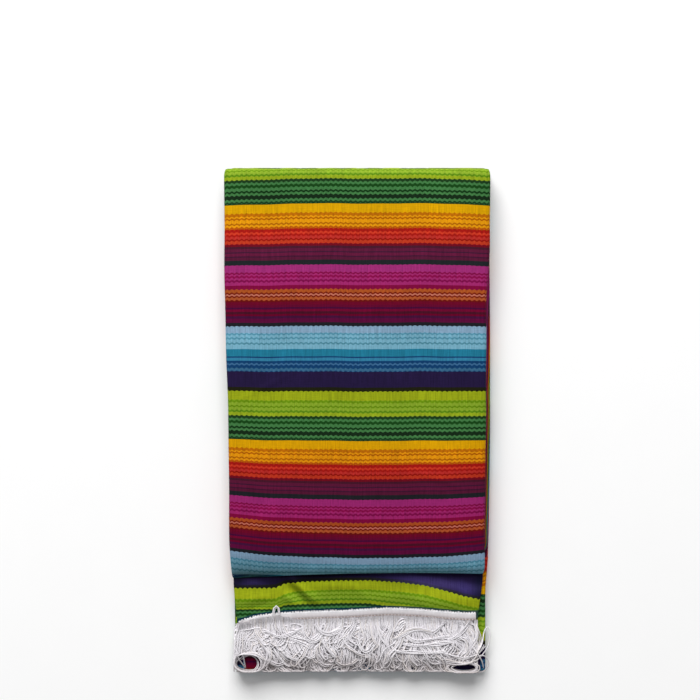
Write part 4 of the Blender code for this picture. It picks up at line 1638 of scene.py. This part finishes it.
@dataclass
class HemTape:
    """The white braid on the flap, with small loops along its top edge."""

    bundle: Bundle
    tape: TapeLine
    flap: EndFlap
    finish: BraidFinish
    picot_pitch: float = 1.9
    picot_height: float = 1.3
    picot_radius: float = 0.3
    scallop: float = 0.75
    step: float = 0.38
    rows: int = 13
    sway: Waves = ((0.12, 9.0, 0.5), (0.10, 4.3, 2.0))
    puff: Waves = ((0.15, 13.0, 0.4), (0.105, 6.1, 1.0))
    # height, place down the tape and width of each cord and seam that runs along it
    cords: tuple[tuple[float, float, float], ...] = (
        (0.30, 0.10, 0.07), (-0.35, 0.80, 0.05), (0.25, 0.92, 0.06))
    knit: float = 0.14
    rounding: float = 0.45
    narrow: tuple[float, float] = (0.35, 12.0)      # share of the width at the left, and reach
    thin: tuple[float, float] = (0.5, 8.0)          # share of the thickness there, and reach
    root_rise: float = 0.55         # height of the yarns' roots over the tape's underside
    worn_rise: float = 1.7          # and how much more it is at the worn left end
    worn_x: tuple[float, float] = (-40.0, -56.0)
    sides: tuple[float, float] = (-85.2, 83.9)

    def width(self, x: Array) -> Array:
        """Width of the tape, which narrows to its left end."""
        return self.tape.width * self.from_left(x, *self.narrow)

    def from_left(self, x: Array, share: float, reach: float) -> Array:
        """A share at the left end that grows to 1 over its reach."""
        return share + (1.0 - share) * ease(self.sides[0], self.sides[0] + reach, x)

    def underside(self, x: Array, y: Array) -> Array:
        """Height of the tape's underside on the level stack."""
        b = self.bundle
        return b.shelf_top + 3.0 * b.gap + 2.0 * b.wall + self.flap.rise(x, y)

    def root_z(self, x: Array, y: Array) -> Array:
        """Height at which the yarns come out, on the sagging bundle."""
        z = self.underside(x, y) + self.root_rise + self.worn_rise * ease(*self.worn_x, x)
        return self.bundle.settle(x, y, z)[..., 2]

    def build(self) -> bpy.types.Object:
        """Build and dress the tape.

        Returns:
            The piece.
        """
        left, right = self.sides
        x = np.linspace(left, right, int((right - left) / self.step))[None, :]
        t = np.linspace(0.0, 1.0, self.rows)[::-1][:, None]
        sway = ripple(x, self.sway)
        arch = np.abs(np.sin(math.pi * (x - left) / self.picot_pitch))
        y = self.tape.top(x) + (sway - self.scallop * (1.0 - arch)) * (1.0 - t) ** 3
        y = y - self.width(x) * t
        x, y, t = np.broadcast_arrays(x, y, t)
        low = self.underside(x, y)
        crown = 1.0 - self.rounding * np.abs(2.0 * t - 1.0) ** 3
        knit = self.knit * np.cos(2.0 * math.pi * x / self.finish.rib_pitch) * (t > 0.2)
        cord = sum(h * np.exp(-((t - place) / wide) ** 2) for h, place, wide in self.cords)
        puff = 1.0 + ripple(x, self.puff)
        thick = self.tape.thick * crown * puff + knit + cord
        high = low + thick * self.from_left(x, *self.thin)
        piece = shell("white_hem_tape", self.bundle.settle(x, y, high),
                      self.bundle.settle(x, y, low), cloth_uv(x, self.tape.width * t))
        return dress(piece, self.finish.material(), Slot.YARN, "fringe")

    def edge_loops(self, material: bpy.types.Material) -> bpy.types.Object:
        """Build the small loops along the tape's top edge.

        Args:
            material: Their material.

        Returns:
            The piece.
        """
        rng = np.random.default_rng(3)
        batch = YarnBatch("tape_edge_loops", sides=5, step=0.42)
        turn = np.linspace(0.0, math.pi, 7)
        first = self.sides[0] + 1.5 * self.picot_pitch
        for x in np.arange(first, self.sides[1] - 0.5, self.picot_pitch):
            height = self.picot_height * rng.uniform(0.75, 1.25)
            middle = x + rng.normal(0.0, 0.12)
            px = middle - 0.36 * self.picot_pitch * np.cos(turn)
            py = self.tape.top(px) - 1.0 + height * np.sin(turn)
            pz = self.underside(px, py) + 0.45 * self.tape.thick + 0.25 * np.sin(turn)
            batch.add(self.bundle.settle(px, py, pz), self.picot_radius, 0.9)
        return batch.build(material, "fringe")


# ---------------------------------------------------------------- the fringe

@dataclass(frozen=True)
class Gap:
    """An opening in the fringe that yarns curl round: its middle and half sizes in mm."""

    x: float
    y: float
    half_x: float
    half_y: float

    def depth(self, x: Array, y: Array) -> Array:
        """Distance from the middle, 1 on the rim."""
        return np.hypot((x - self.x) / self.half_x, (y - self.y) / self.half_y)


LOWER_ROOT_Y, LOWER_ROOT_Z = -134.5, 11.05      # where the hidden tape holds its yarns
GAPS = (Gap(-77.4, -172.8, 10.0, 6.2), Gap(75.6, -176.6, 11.2, 2.9))


class Pile:
    """Heights of what lies at the fringe end, so that each yarn rests on those before it."""

    cell: float = 0.5           # size of a cell in mm
    corner: tuple[float, float] = (-104.0, -190.0)
    size: tuple[float, float] = (208.0, 92.0)
    soft: int = 7            # cells over which the pressed pile is evened out
    relief: float = 1.1        # depth of the top that stands out
    stand: float = 0.34        # share of its relief that is kept
    end_stand: float = 0.4     # how much more of it is kept at the fringe end
    end_reach: tuple[float, float] = (-163.0, -176.0)
    firm_rest: float = 0.15    # height of a yarn's centre line on a firm piece
    end_cap: float = 0.8       # thickness at the fringe end
    rise_cap: float = 5.4      # how much thicker it is further up

    def __init__(self, bundle: Bundle) -> None:
        """Start with the cloth below the fringe.

        Args:
            bundle: Sizes of the bundle.
        """
        cell = self.cell
        self.x, self.y = np.meshgrid(
            *(low + cell * (np.arange(int(size / cell)) + 0.5)
              for low, size in zip(self.corner, self.size)), indexing="ij")
        cloth = bundle.settle(self.x, self.y, bundle.under_top)[..., 2]
        on = (self.y > -bundle.half_length - 0.5)
        on &= self.x < bundle.side(bundle.lower_right, self.y) + 4.0
        on &= self.x > bundle.side(bundle.lower_left, self.y) - 4.0
        self.ground = np.where(on, cloth, cloth - 2.0)
        self.height = self.ground.copy()
        self.firm = self.ground.copy()
        self.around = [(i, j) for i in (-1, 0, 1) for j in (-1, 0, 1)]

    def cells(self, xy: Array) -> tuple[Array, Array]:
        """Cell numbers of places given in mm, off the outermost cells."""
        numbers = ((xy - self.corner) / self.cell).astype(int)
        return tuple(np.moveaxis(np.clip(numbers, 1, np.array(self.x.shape) - 2), -1, 0))

    def above(self, x: float, y: float) -> float:
        """Height of the pile over the cloth at one place."""
        cell = self.cells(np.array((x, y)))
        return float(self.height[cell] - self.ground[cell])

    def cover(self, where: Array, height: Array) -> None:
        """Lay a firm piece on the pile, which isn't pressed down with it.

        Args:
            where: The cells that it covers.
            height: Height of its upper face in every cell.
        """
        self.height = np.where(where, np.maximum(self.height, height), self.height)
        self.firm = np.where(where, np.maximum(self.firm, height), self.firm)
        self.height_then = self.height.copy()

    def lay(self, xy: Array, radius: float, held: Array, sink: float) -> Array:
        """Lay one yarn on the pile.

        Args:
            xy: Its way, a point for each millimetre.
            radius: Its radius.
            held: Height held where it is sewn in, or nan where it lies free.
            sink: Share of the radius by which it sinks in.

        Returns:
            The height of its centre line.
        """
        i, j = self.cells(xy)
        top = np.max([self.height[i + a, j + b] for a, b in self.around], axis=0)
        z = top + radius * (1.0 - sink)
        free = np.isnan(held)
        z = np.where(free, z, held)
        wide = np.pad(z, 1, mode="edge")
        z = np.where(free, np.max([wide[k:k + len(z)] for k in range(3)], axis=0), z)
        for _ in range(4):
            padded = np.pad(z, 2, mode="edge")
            z = sum(w * padded[k:k + len(z)] for k, w in enumerate((0.1, 0.24, 0.32, 0.24, 0.1)))
        for a, b in self.around:
            if abs(a) + abs(b) < 2:
                np.maximum.at(self.height, (i + a, j + b), z + radius * (1.0 - sink))
        return z

    def press(self, end_y: float) -> None:
        """Work out how the loose pile is pressed down, once everything lies on it.

        Args:
            end_y: Where the fringe ends.
        """
        loose = self.height - self.ground
        reach = np.arange(-3 * self.soft, 3 * self.soft + 1)
        weights = np.exp(-(reach / self.soft) ** 2)
        weights /= weights.sum()
        for axis in (0, 1):
            loose = np.apply_along_axis(np.convolve, axis, loose, weights, mode="same")
        self.base = np.maximum(loose - self.relief, 0.05)
        cap = self.end_cap + self.rise_cap * ease(end_y - 1.0, end_y + 13.0, self.y)
        self.pressed = cap * (1.0 - np.exp(-self.base / cap))

    def settle(self, xy: Array, z: Array, on_top: bool) -> Array:
        """Height of a yarn on the pressed pile.

        Args:
            xy: Way of the yarn.
            z: Its height on the loose pile.
            on_top: True where it lies over the firm pieces.

        Returns:
            Its height on the pressed pile, in which the top keeps its relief.
        """
        i, j = self.cells(xy)
        lift = np.maximum(z - self.ground[i, j], 0.3)
        base, pressed = self.base[i, j], self.pressed[i, j]
        stand = self.stand + self.end_stand * ease(*self.end_reach, xy[:, 1])
        lift = np.where(lift < base, lift * pressed / base, pressed + (lift - base) * stand)
        settled = self.ground[i, j] + lift
        if on_top:
            over = self.firm_rest + self.stand * np.maximum(0.0, z - self.height_then[i, j])
            settled = np.where(self.firm[i, j] > self.ground[i, j] + 0.5,
                               np.maximum(settled, self.firm[i, j] + over), settled)
        return settled


@dataclass(frozen=True)
class Stray:
    """Yarns side by side that lie clear on top: their corners, their number and how far they
    stand off, in mm."""

    corners: tuple[tuple[float, float], ...]
    count: int = 3
    lift: float = 0.4


STRAYS: tuple[Stray, ...] = (
    # sweeps and arcs on the mound
    Stray(((-69, -150.5), (-65, -150), (-59, -153.5), (-55, -155), (-48.5, -152.5), (-43.5, -150),
           (-39, -148))),
    Stray(((-30.5, -145), (-28.5, -149), (-24, -152), (-19.5, -152.5), (-15.5, -151),
           (-10.5, -149)), 4),
    Stray(((-25.5, -154), (-23.5, -160), (-21.5, -163.5), (-18.5, -167), (-15.5, -169))),
    Stray(((-64, -170), (-60.5, -174), (-56, -175.5), (-52, -173))),
    Stray(((-51.5, -165), (-50, -167.5), (-46.5, -170.5), (-41.5, -171.5)), 2),
    Stray(((-39, -165.5), (-36.5, -170), (-33, -170), (-30, -167)), 2),
    Stray(((-28, -172), (-26.5, -174.5), (-23, -176), (-18, -174.5))),
    Stray(((-16.5, -171), (-14, -174), (-9.5, -175.5), (-3.5, -174), (0, -170.5))),
    Stray(((-9.5, -160.5), (-3.5, -164), (0, -167), (5.5, -167.5))),
    Stray(((-1, -155.5), (0, -160), (2, -163.5), (5, -165.5), (8, -164), (9.5, -161))),
    Stray(((8.5, -144), (9.5, -149), (10.5, -155), (14, -160.5))),
    Stray(((13, -145.5), (15, -151.5), (18.5, -157), (21.5, -161), (23.5, -165.5))),
    # flat waves on the right half
    Stray(((24.5, -156), (28.5, -155.5), (32, -152.5), (36.5, -150), (43, -148.5), (51.5, -150.5),
           (57, -152)), 4),
    Stray(((33.5, -152.5), (36.5, -155.5), (40.5, -158), (48.5, -157), (57, -155), (67, -154.5))),
    Stray(((32, -159), (37, -160.5), (42, -161), (51.5, -160), (60.5, -159), (70.5, -157.5))),
    Stray(((23.5, -161), (26.5, -164.5), (30, -165.5), (35, -165), (43, -165.5), (51.5, -166),
           (63.5, -164.5))),
    Stray(((44, -161), (47, -165), (49, -168.5), (50, -172), (54, -174.5), (60.5, -173.5)), 2),
    Stray(((50, -152.5), (55.5, -150), (60.5, -145.5), (63.5, -142.5))),
    Stray(((62.5, -157.5), (69, -155), (74, -151), (77.5, -147), (80, -143))),
    # round the gaps
    Stray(((62.5, -166), (69, -168.5), (75, -170), (81, -169), (87, -165.5), (90.5, -161)), 2),
    Stray(((62, -172), (69, -173), (75, -173.5), (80, -173), (84, -171))),
    Stray(((82.5, -172.5), (87, -175), (86.5, -178.5), (82, -180), (75.5, -180), (69, -179.5),
           (65, -178)), 1),
    Stray(((-84, -171), (-81.5, -168.5), (-77.5, -167.5), (-73.5, -169), (-70.5, -172.5),
           (-71, -176.5), (-75.5, -179)), 2),
    Stray(((-83.5, -164), (-82, -168.5), (-81, -172.5), (-80, -177)), 1),
    # one over the tape, and the side edges
    Stray(((-60.5, -139), (-60, -134.5), (-58, -131.5), (-56.5, -134), (-56, -139)), 2, 0.9),
    Stray(((-67.5, -147.5), (-72, -148), (-77, -149.5), (-82, -150), (-87, -150)), 1, 0.2),
    Stray(((-84, -144), (-86, -150.5), (-87.5, -157), (-87, -164), (-85, -171), (-80.5, -177)), 1,
           0.0),
    Stray(((83.5, -144), (86, -151), (87.5, -157), (86, -162.5), (84, -169), (80.5, -172.5)), 2),
    Stray(((80, -172), (85, -171.5), (89, -167.5), (92.5, -162.5), (94.5, -156), (94.5, -150),
           (92.5, -146.5), (90.5, -151), (88.5, -158.5), (85, -165.5)), 1),
    Stray(((82.5, -170), (87.5, -167.5), (91.5, -169), (94.5, -173.5), (92.5, -178.5),
           (87.5, -180.5), (83.5, -179.5)), 1),
    Stray(((81, -160.5), (85, -165.5), (88, -171.5), (89.5, -177.5)), 1),
)


@dataclass
class Laid:
    """A yarn on the loose pile: its way, heights, radii and where it lies free."""

    way: Array
    z: Array
    radius: Array
    free: Array


@dataclass
class Fringe:
    """Looped yarn below a tape, pushed back on itself into bunched curls."""

    bundle: Bundle
    name: str
    bunches: int
    root_line: Callable[[Array], Array]
    held_line: Callable[[Array], Array]
    root_z: Callable[[Array, Array], Array]
    sides: tuple[float, float]
    seed: int
    leg: tuple[float, float]
    radius: float = 0.31
    flat: float = 1.5
    strands: tuple[int, int] = (7, 10)
    curl: float = 0.09
    spread: float = 0.72
    end_y: float = -179.2
    edge_x: tuple[float, float] = (-86.5, 83.5)
    sink: float = 0.6
    step: float = 2.2
    steer: float = 0.075
    swing: float = 0.07
    on_top: bool = True
    flow_from: tuple[float, float] = (3.0, 15.0)
    turn_from: tuple[float, float] = (3.0, 9.0)
    most_turn: float = 0.30         # by how much a yarn turns at most in a millimetre
    most_uphill: float = 3.5
    # angle and distance of the places that a yarn feels ahead of it
    feelers: tuple[tuple[float, float], ...] = ((0.6, 3.5), (1.0, 6.5))
    # how wide a loop is at its end, and how often each width comes
    bows: tuple[float, ...] = (1.6, 3.0, 5.5, 8.0)
    bow_shares: tuple[float, ...] = (0.3, 0.35, 0.25, 0.1)
    root_inset: float = 1.5
    root_share: float = 0.76        # share of the radius that a yarn has where it is sewn in
    root_reach: tuple[float, float] = (2.0, 11.0)
    gap_rim: float = 0.8            # a loop that comes nearer to a gap's middle is left out
    laid: list[Laid] = field(default_factory=list)

    def flow(self, x: float, depth: float) -> float:
        """Heading that yarns tend to at a place, 0 straight down and positive to the right.

        Args:
            x: Place across.
            depth: Distance below the root line.

        Returns:
            The heading in radians.
        """
        swing = (1.25 * math.sin(0.108 * x + 0.9 + 0.9 * math.sin(0.17 * x))
                 + 0.9 * math.sin(0.216 * x - 0.185 * depth + 2.0)
                 + 0.5 * math.sin(0.41 * x + 0.3 * depth))
        return swing * float(ease(*self.flow_from, depth))

    def guide(self, pile: Pile, x: float, length: float, rng: np.random.Generator) -> Array:
        """The way of a bunch, from its roots to its far end.

        Args:
            pile: What lies there already; the bunch keeps to its low places.
            x: Where it is sewn in.
            length: Its length.
            rng: Source of its turns.

        Returns:
            X and Y of its points, one for each millimetre.
        """
        heading = rng.normal(0.0, 0.06)
        own = rng.normal(0.0, 0.5)
        waves = [(rng.normal(0.0, self.curl), rng.uniform(20.0, 34.0), rng.uniform(0, TURN)),
                 (rng.normal(0.0, self.curl), rng.uniform(9.0, 16.0), rng.uniform(0, TURN))]
        y = float(self.root_line(x))
        way = [(x, y)]
        for k in range(int(length)):
            depth = float(self.root_line(x)) - y
            bend = self.swing * math.sin(self.flow(x, depth) + own - heading)
            bend += sum(h * math.sin(2 * math.pi * k / w + p) for h, w, p in waves)
            uphill = 0.0
            for angle, reach in self.feelers:
                for side in (-1.0, 1.0):
                    a = heading + angle * side
                    uphill += side * self.load(pile, x + reach * math.sin(a),
                                               y - reach * math.cos(a))
            bend -= self.steer * max(-self.most_uphill, min(self.most_uphill, uphill))
            bend *= float(ease(*self.turn_from, k))
            heading += max(-self.most_turn, min(self.most_turn, bend))
            x += math.sin(heading)
            y -= math.cos(heading)
            way.append((x, y))
        return np.array(way)

    def load(self, pile: Pile, x: float, y: float) -> float:
        """How full a place is, with the borders and gaps of the fringe as high walls.

        Args:
            pile: What lies there already.
            x: The place across.
            y: The place along.

        Returns:
            Its height over the cloth in mm, with the walls.
        """
        wall = max(0.0, self.end_y + 1.5 - y) + max(0.0, self.edge_x[0] + 1.0 - x)
        wall += max(0.0, x - self.edge_x[1] + 1.0)
        wall += max(0.0, y - float(self.root_line(x)) + 3.0)
        for gap in GAPS:
            wall += 3.0 * max(0.0, 1.35 - float(gap.depth(x, y)))
        return 0.7 * pile.above(x, y) + 1.2 * wall

    def tidy(self, way: Array) -> Array:
        """Keep a way off the gaps and inside the fringe, and smooth it.

        Args:
            way: X and Y of its points.

        Returns:
            The mended way.
        """
        way = way.copy()
        for _ in range(3):
            for gap in GAPS:
                near = gap.depth(way[:, 0], way[:, 1])
                push = np.maximum(1.0, 1.15 / np.maximum(near, 0.15))
                way[:, 0] = gap.x + (way[:, 0] - gap.x) * push
                way[:, 1] = gap.y + (way[:, 1] - gap.y) * push
            way[:, 1] = np.maximum(way[:, 1], self.end_y)
            low = self.root_line(way[3:-3, 0]) - 1.5
            way[3:-3, 1] = np.minimum(way[3:-3, 1], low)
            way[:, 0] = np.clip(way[:, 0], self.edge_x[0] - 1.5, self.edge_x[1] + 1.5)
            smooth(way)
        return way

    def loop(self, guide: Array, offset: float, rng: np.random.Generator) -> Array:
        """One loop of a bunch: along the guide, round its end, and back.

        Args:
            guide: The bunch's way.
            offset: Place across the bunch in mm.
            rng: Source of its own turns.

        Returns:
            X and Y of its points.
        """
        run, normal = headings(guide)
        k = np.arange(len(guide))
        share = k / k[-1]
        wobble = (rng.normal(0.0, 0.7) * np.sin(k / rng.uniform(3.0, 5.0) + rng.uniform(0, TURN))
                  + rng.normal(0.0, 1.6) * share) * ease(4.0, 18.0, k)
        leg = guide + normal * (offset + wobble)[:, None]
        leg = leg[:int(len(leg) * rng.uniform(0.8, 1.0))]
        run, normal, share = run[:len(leg)], normal[:len(leg)], share[:len(leg)]
        side = rng.choice((-1.0, 1.0))
        bow = rng.choice(self.bows, p=self.bow_shares) * rng.uniform(0.8, 1.2)
        gap = 0.9 + bow * share ** 1.2 + 0.6 * np.sin(share * 9.0 + rng.uniform(0, TURN)) * share
        back = leg + normal * (side * np.maximum(0.6, gap))[:, None]
        centre = 0.5 * (leg[-1] + back[-1])
        out = leg[-1] - centre
        reach = float(np.linalg.norm(out))
        turn = np.linspace(0.0, math.pi, max(5, int(math.pi * reach)))[1:-1]
        cap = (centre[None, :] + np.cos(turn)[:, None] * out[None, :]
               + np.sin(turn)[:, None] * run[-1][None, :] * reach)
        return self.tidy(np.concatenate([leg, cap, back[::-1]]))

    def held(self, way: Array, rng: np.random.Generator) -> Array:
        """Height held next to the roots, nan further out."""
        z = self.root_z(way[:, 0], way[:, 1]) + rng.uniform(-0.15, 0.35)
        return np.where(way[:, 1] > self.held_line(way[:, 0]), z, np.nan)

    def scatter(self, pile: Pile) -> None:
        """Lay all the loops on the pile.

        Args:
            pile: What lies there already.
        """
        rng = np.random.default_rng(self.seed)
        places = np.linspace(self.sides[0] + self.root_inset, self.sides[1] - self.root_inset,
                             self.bunches)
        for x in rng.permutation(places):
            guide = self.guide(pile, float(x) + rng.normal(0.0, 0.6), rng.uniform(*self.leg),
                               rng)
            count = int(rng.integers(self.strands[0], self.strands[1] + 1))
            for number in rng.permutation(count):
                offset = self.spread * (number - 0.5 * (count - 1)) * rng.uniform(0.9, 1.2)
                way = self.loop(guide, float(offset), rng)
                radius = self.radius * rng.uniform(0.86, 1.12)
                if min(float(gap.depth(*way.T).min()) for gap in GAPS) < self.gap_rim:
                    continue
                z = pile.lay(way, radius, self.held(way, rng), self.sink)
                root = np.minimum(np.arange(len(way)), np.arange(len(way))[::-1])
                full = self.root_share + (1.0 - self.root_share) * ease(*self.root_reach, root)
                self.laid.append(Laid(way, z, radius * full,
                                      way[:, 1] < self.held_line(way[:, 0])))

    def lay_stray(self, stray: Stray, pile: Pile, rng: np.random.Generator) -> None:
        """Lay the yarns of a stray on the pile.

        Args:
            stray: Where they lie.
            pile: What lies there already.
            rng: Source of their wobble.
        """
        _, at, line = resample(np.array(stray.corners, float), 1.0, 6)
        smooth(line, 5)
        _, normal = headings(line)
        for number in range(stray.count):
            shift = self.spread * (number - 0.5 * (stray.count - 1))
            shift = shift * (1.0 + rng.normal(0.0, 0.5) * (at / at[-1] - 0.5))
            wave = 0.35 * np.sin(at / rng.uniform(3.0, 5.0) + rng.uniform(0, TURN))
            way = line + normal * (shift + wave)[:, None]
            z = pile.lay(way, self.radius, np.full(len(way), np.nan), 0.5)
            ends = np.minimum(at, at[-1] - at)
            z = z + stray.lift - 2.0 * (1.0 - ease(0.0, 6.0, ends))
            self.laid.append(Laid(way, z, np.full(len(way), self.radius),
                                  way[:, 1] < self.held_line(way[:, 0]) + 0.5))

    def build(self, pile: Pile, material: bpy.types.Material, *nodes: str) -> bpy.types.Object:
        """Press the loops down with the pile and make the piece.

        Args:
            pile: The pressed pile.
            material: The yarn's material.
            nodes: The solids that it replaces.

        Returns:
            The piece.
        """
        batch = YarnBatch(self.name, sides=5, step=self.step, flat=self.flat)
        for yarn in self.laid:
            z = np.where(yarn.free, pile.settle(yarn.way, yarn.z, self.on_top), yarn.z)
            smooth(z, 3)
            batch.add(np.column_stack([yarn.way, z]), yarn.radius)
        return batch.build(material, *nodes)


# ---------------------------------------------------------------- studio

@dataclass
class Studio:
    """Floor, lights and camera, in metres, watts and degrees."""

    floor: FloorFinish
    floor_half: float = 3.0
    frame_width: float = 0.497
    centre: tuple[float, float] = (-0.0057, 0.0497)
    lens: float = 110.0
    sensor: float = 36.0
    clip: tuple[float, float] = (0.05, 20.0)
    subject_z: float = 0.016
    world: float = 0.25
    key: float = 216.0
    key_size: float = 3.0
    key_place: tuple[float, float, float] = (-0.55, 3.0, 2.45)
    fill: float = 0.12
    fill_spread: float = 60.0
    fill_place: tuple[float, float, float] = (0.8, 0.1, 1.4)

    def build(self) -> None:
        """Make the floor, the lights and the camera."""
        scene = bpy.context.scene
        h = self.floor_half
        mesh = bpy.data.meshes.new("table_top")
        mesh.from_pydata([(-h, -h, 0.0), (h, -h, 0.0), (h, h, 0.0), (-h, h, 0.0)], [],
                         [(0, 1, 2, 3)])
        mesh.materials.append(self.floor.material())
        table = self.add("table_top", mesh)
        self.lamp("key", "AREA", self.key_place, energy=self.key, size=self.key_size)
        self.lamp("fill", "SUN", self.fill_place, energy=self.fill,
                  angle=math.radians(self.fill_spread))
        world = bpy.data.worlds.new("studio")
        world.use_nodes = True
        background = world.node_tree.nodes["Background"]
        background.inputs[0].default_value = (1.0, 1.0, 1.0, 1.0)
        background.inputs[1].default_value = self.world
        scene.world = world
        scene.view_settings.view_transform = "Standard"
        camera = bpy.data.cameras.new("camera")
        camera.lens, camera.sensor_width = self.lens, self.sensor
        camera.clip_start, camera.clip_end = self.clip
        distance = self.frame_width * self.lens / self.sensor
        scene.camera = self.add("camera", camera)
        scene.camera.location = (*self.centre, distance + self.subject_z)

    def add(self, name: str, data: bpy.types.ID) -> bpy.types.Object:
        """Put an object into the scene.

        Args:
            name: Its name.
            data: Its mesh, light or camera.

        Returns:
            The object.
        """
        obj = bpy.data.objects.new(name, data)
        bpy.context.scene.collection.objects.link(obj)
        return obj

    def lamp(self, name: str, kind: str, place: tuple[float, float, float],
             **settings: float) -> None:
        """Add a light that faces the bundle.

        Args:
            name: Its name.
            kind: Its kind.
            place: Where it stands, or the direction that it shines from.
            settings: Its properties.
        """
        data = bpy.data.lights.new(name, kind)
        for key, value in settings.items():
            setattr(data, key, value)
        lamp = self.add(name, data)
        lamp.location = place
        lamp.rotation_euler = (-Vector(place)).to_track_quat("-Z", "Y").to_euler()


def corners(bounds: tuple[Vector, Vector]) -> list[list[float]]:
    """Both corners of a box as plain lists."""
    return [list(map(float, corner)) for corner in bounds]


def main() -> None:
    """Dress the folded serape and set it in the studio."""
    logging.basicConfig(level=logging.INFO, format="%(message)s")
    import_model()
    bundle = Bundle()
    tape_line = TapeLine()
    yarn = YarnFinish("white_yarn", "F6F3F6", "C9C2CE").material()

    Studio(FloorFinish()).build()
    folded = ClothFinish("folded_weave", brightness=0.88)
    stacks = FoldedStack(bundle, folded).build()
    under = UnderLayer(bundle, folded)
    under_piece = under.build()
    panel = TopPanel(bundle, ClothFinish("striped_weave", painted_light=PANEL_PAINTED_SHADE))
    panel_piece = panel.build()
    flap = EndFlap(bundle, tape_line, ClothFinish(
        "flap_weave", StripeChart(pitch=3.42, tooth_scale=1.65), tape_shade_colour="12344F",
        painted_light=FLAP_PAINTED_LIGHT))
    flap_piece = flap.build()
    tape = HemTape(bundle, tape_line, flap, BraidFinish())
    tape_piece = tape.build()
    loops_piece = tape.edge_loops(yarn)

    pile = Pile(bundle)
    lower = Fringe(bundle, "lower_looped_fringe", 30,
                   lambda x: np.full(np.shape(x), LOWER_ROOT_Y),
                   tape_line.lower_held,
                   lambda x, y: bundle.settle(x, y, LOWER_ROOT_Z)[..., 2], (-82.5, 81.0),
                   seed=5, leg=(38.0, 50.0), step=2.4, on_top=False)
    lower.scatter(pile)
    on_flap = ((pile.y > tape_line.top(pile.x) - flap.under_tape)
               & (pile.x > bundle.side(flap.left, pile.y))
               & (pile.x < bundle.side(flap.right, pile.y)))
    pile.cover(on_flap, bundle.settle(pile.x, pile.y, flap.top_height(pile.x, pile.y))[..., 2])
    on_tape = on_flap & (pile.y < tape_line.top(pile.x))
    pile.cover(on_tape, bundle.settle(pile.x, pile.y, tape.underside(pile.x, pile.y)
                                      + tape_line.thick)[..., 2])
    roots = (tape_line.roots, tape_line.held, tape.root_z)
    bed = Fringe(bundle, "looped_fringe", 42, *roots, tape.sides, seed=9, leg=(44.0, 60.0))
    bed.scatter(pile)
    curls = Fringe(bundle, "fringe_curls", 46, *roots, tape.sides, seed=22, leg=(22.0, 52.0),
                   strands=(2, 5), curl=0.14, sink=0.5, steer=0.04, swing=0.04)
    curls.scatter(pile)
    rng = np.random.default_rng(2)
    for stray in STRAYS:
        curls.lay_stray(stray, pile, rng)
    pile.press(bed.end_y)
    lower_piece = lower.build(pile, yarn, "lower_fringe")
    bed_piece = bed.build(pile, yarn, "fringe")
    curls_piece = curls.build(pile, yarn, "fringe")

    panel.flat_size()
    flap.flat_size()
    under.flat_size()


if __name__ == "__main__":
    main()
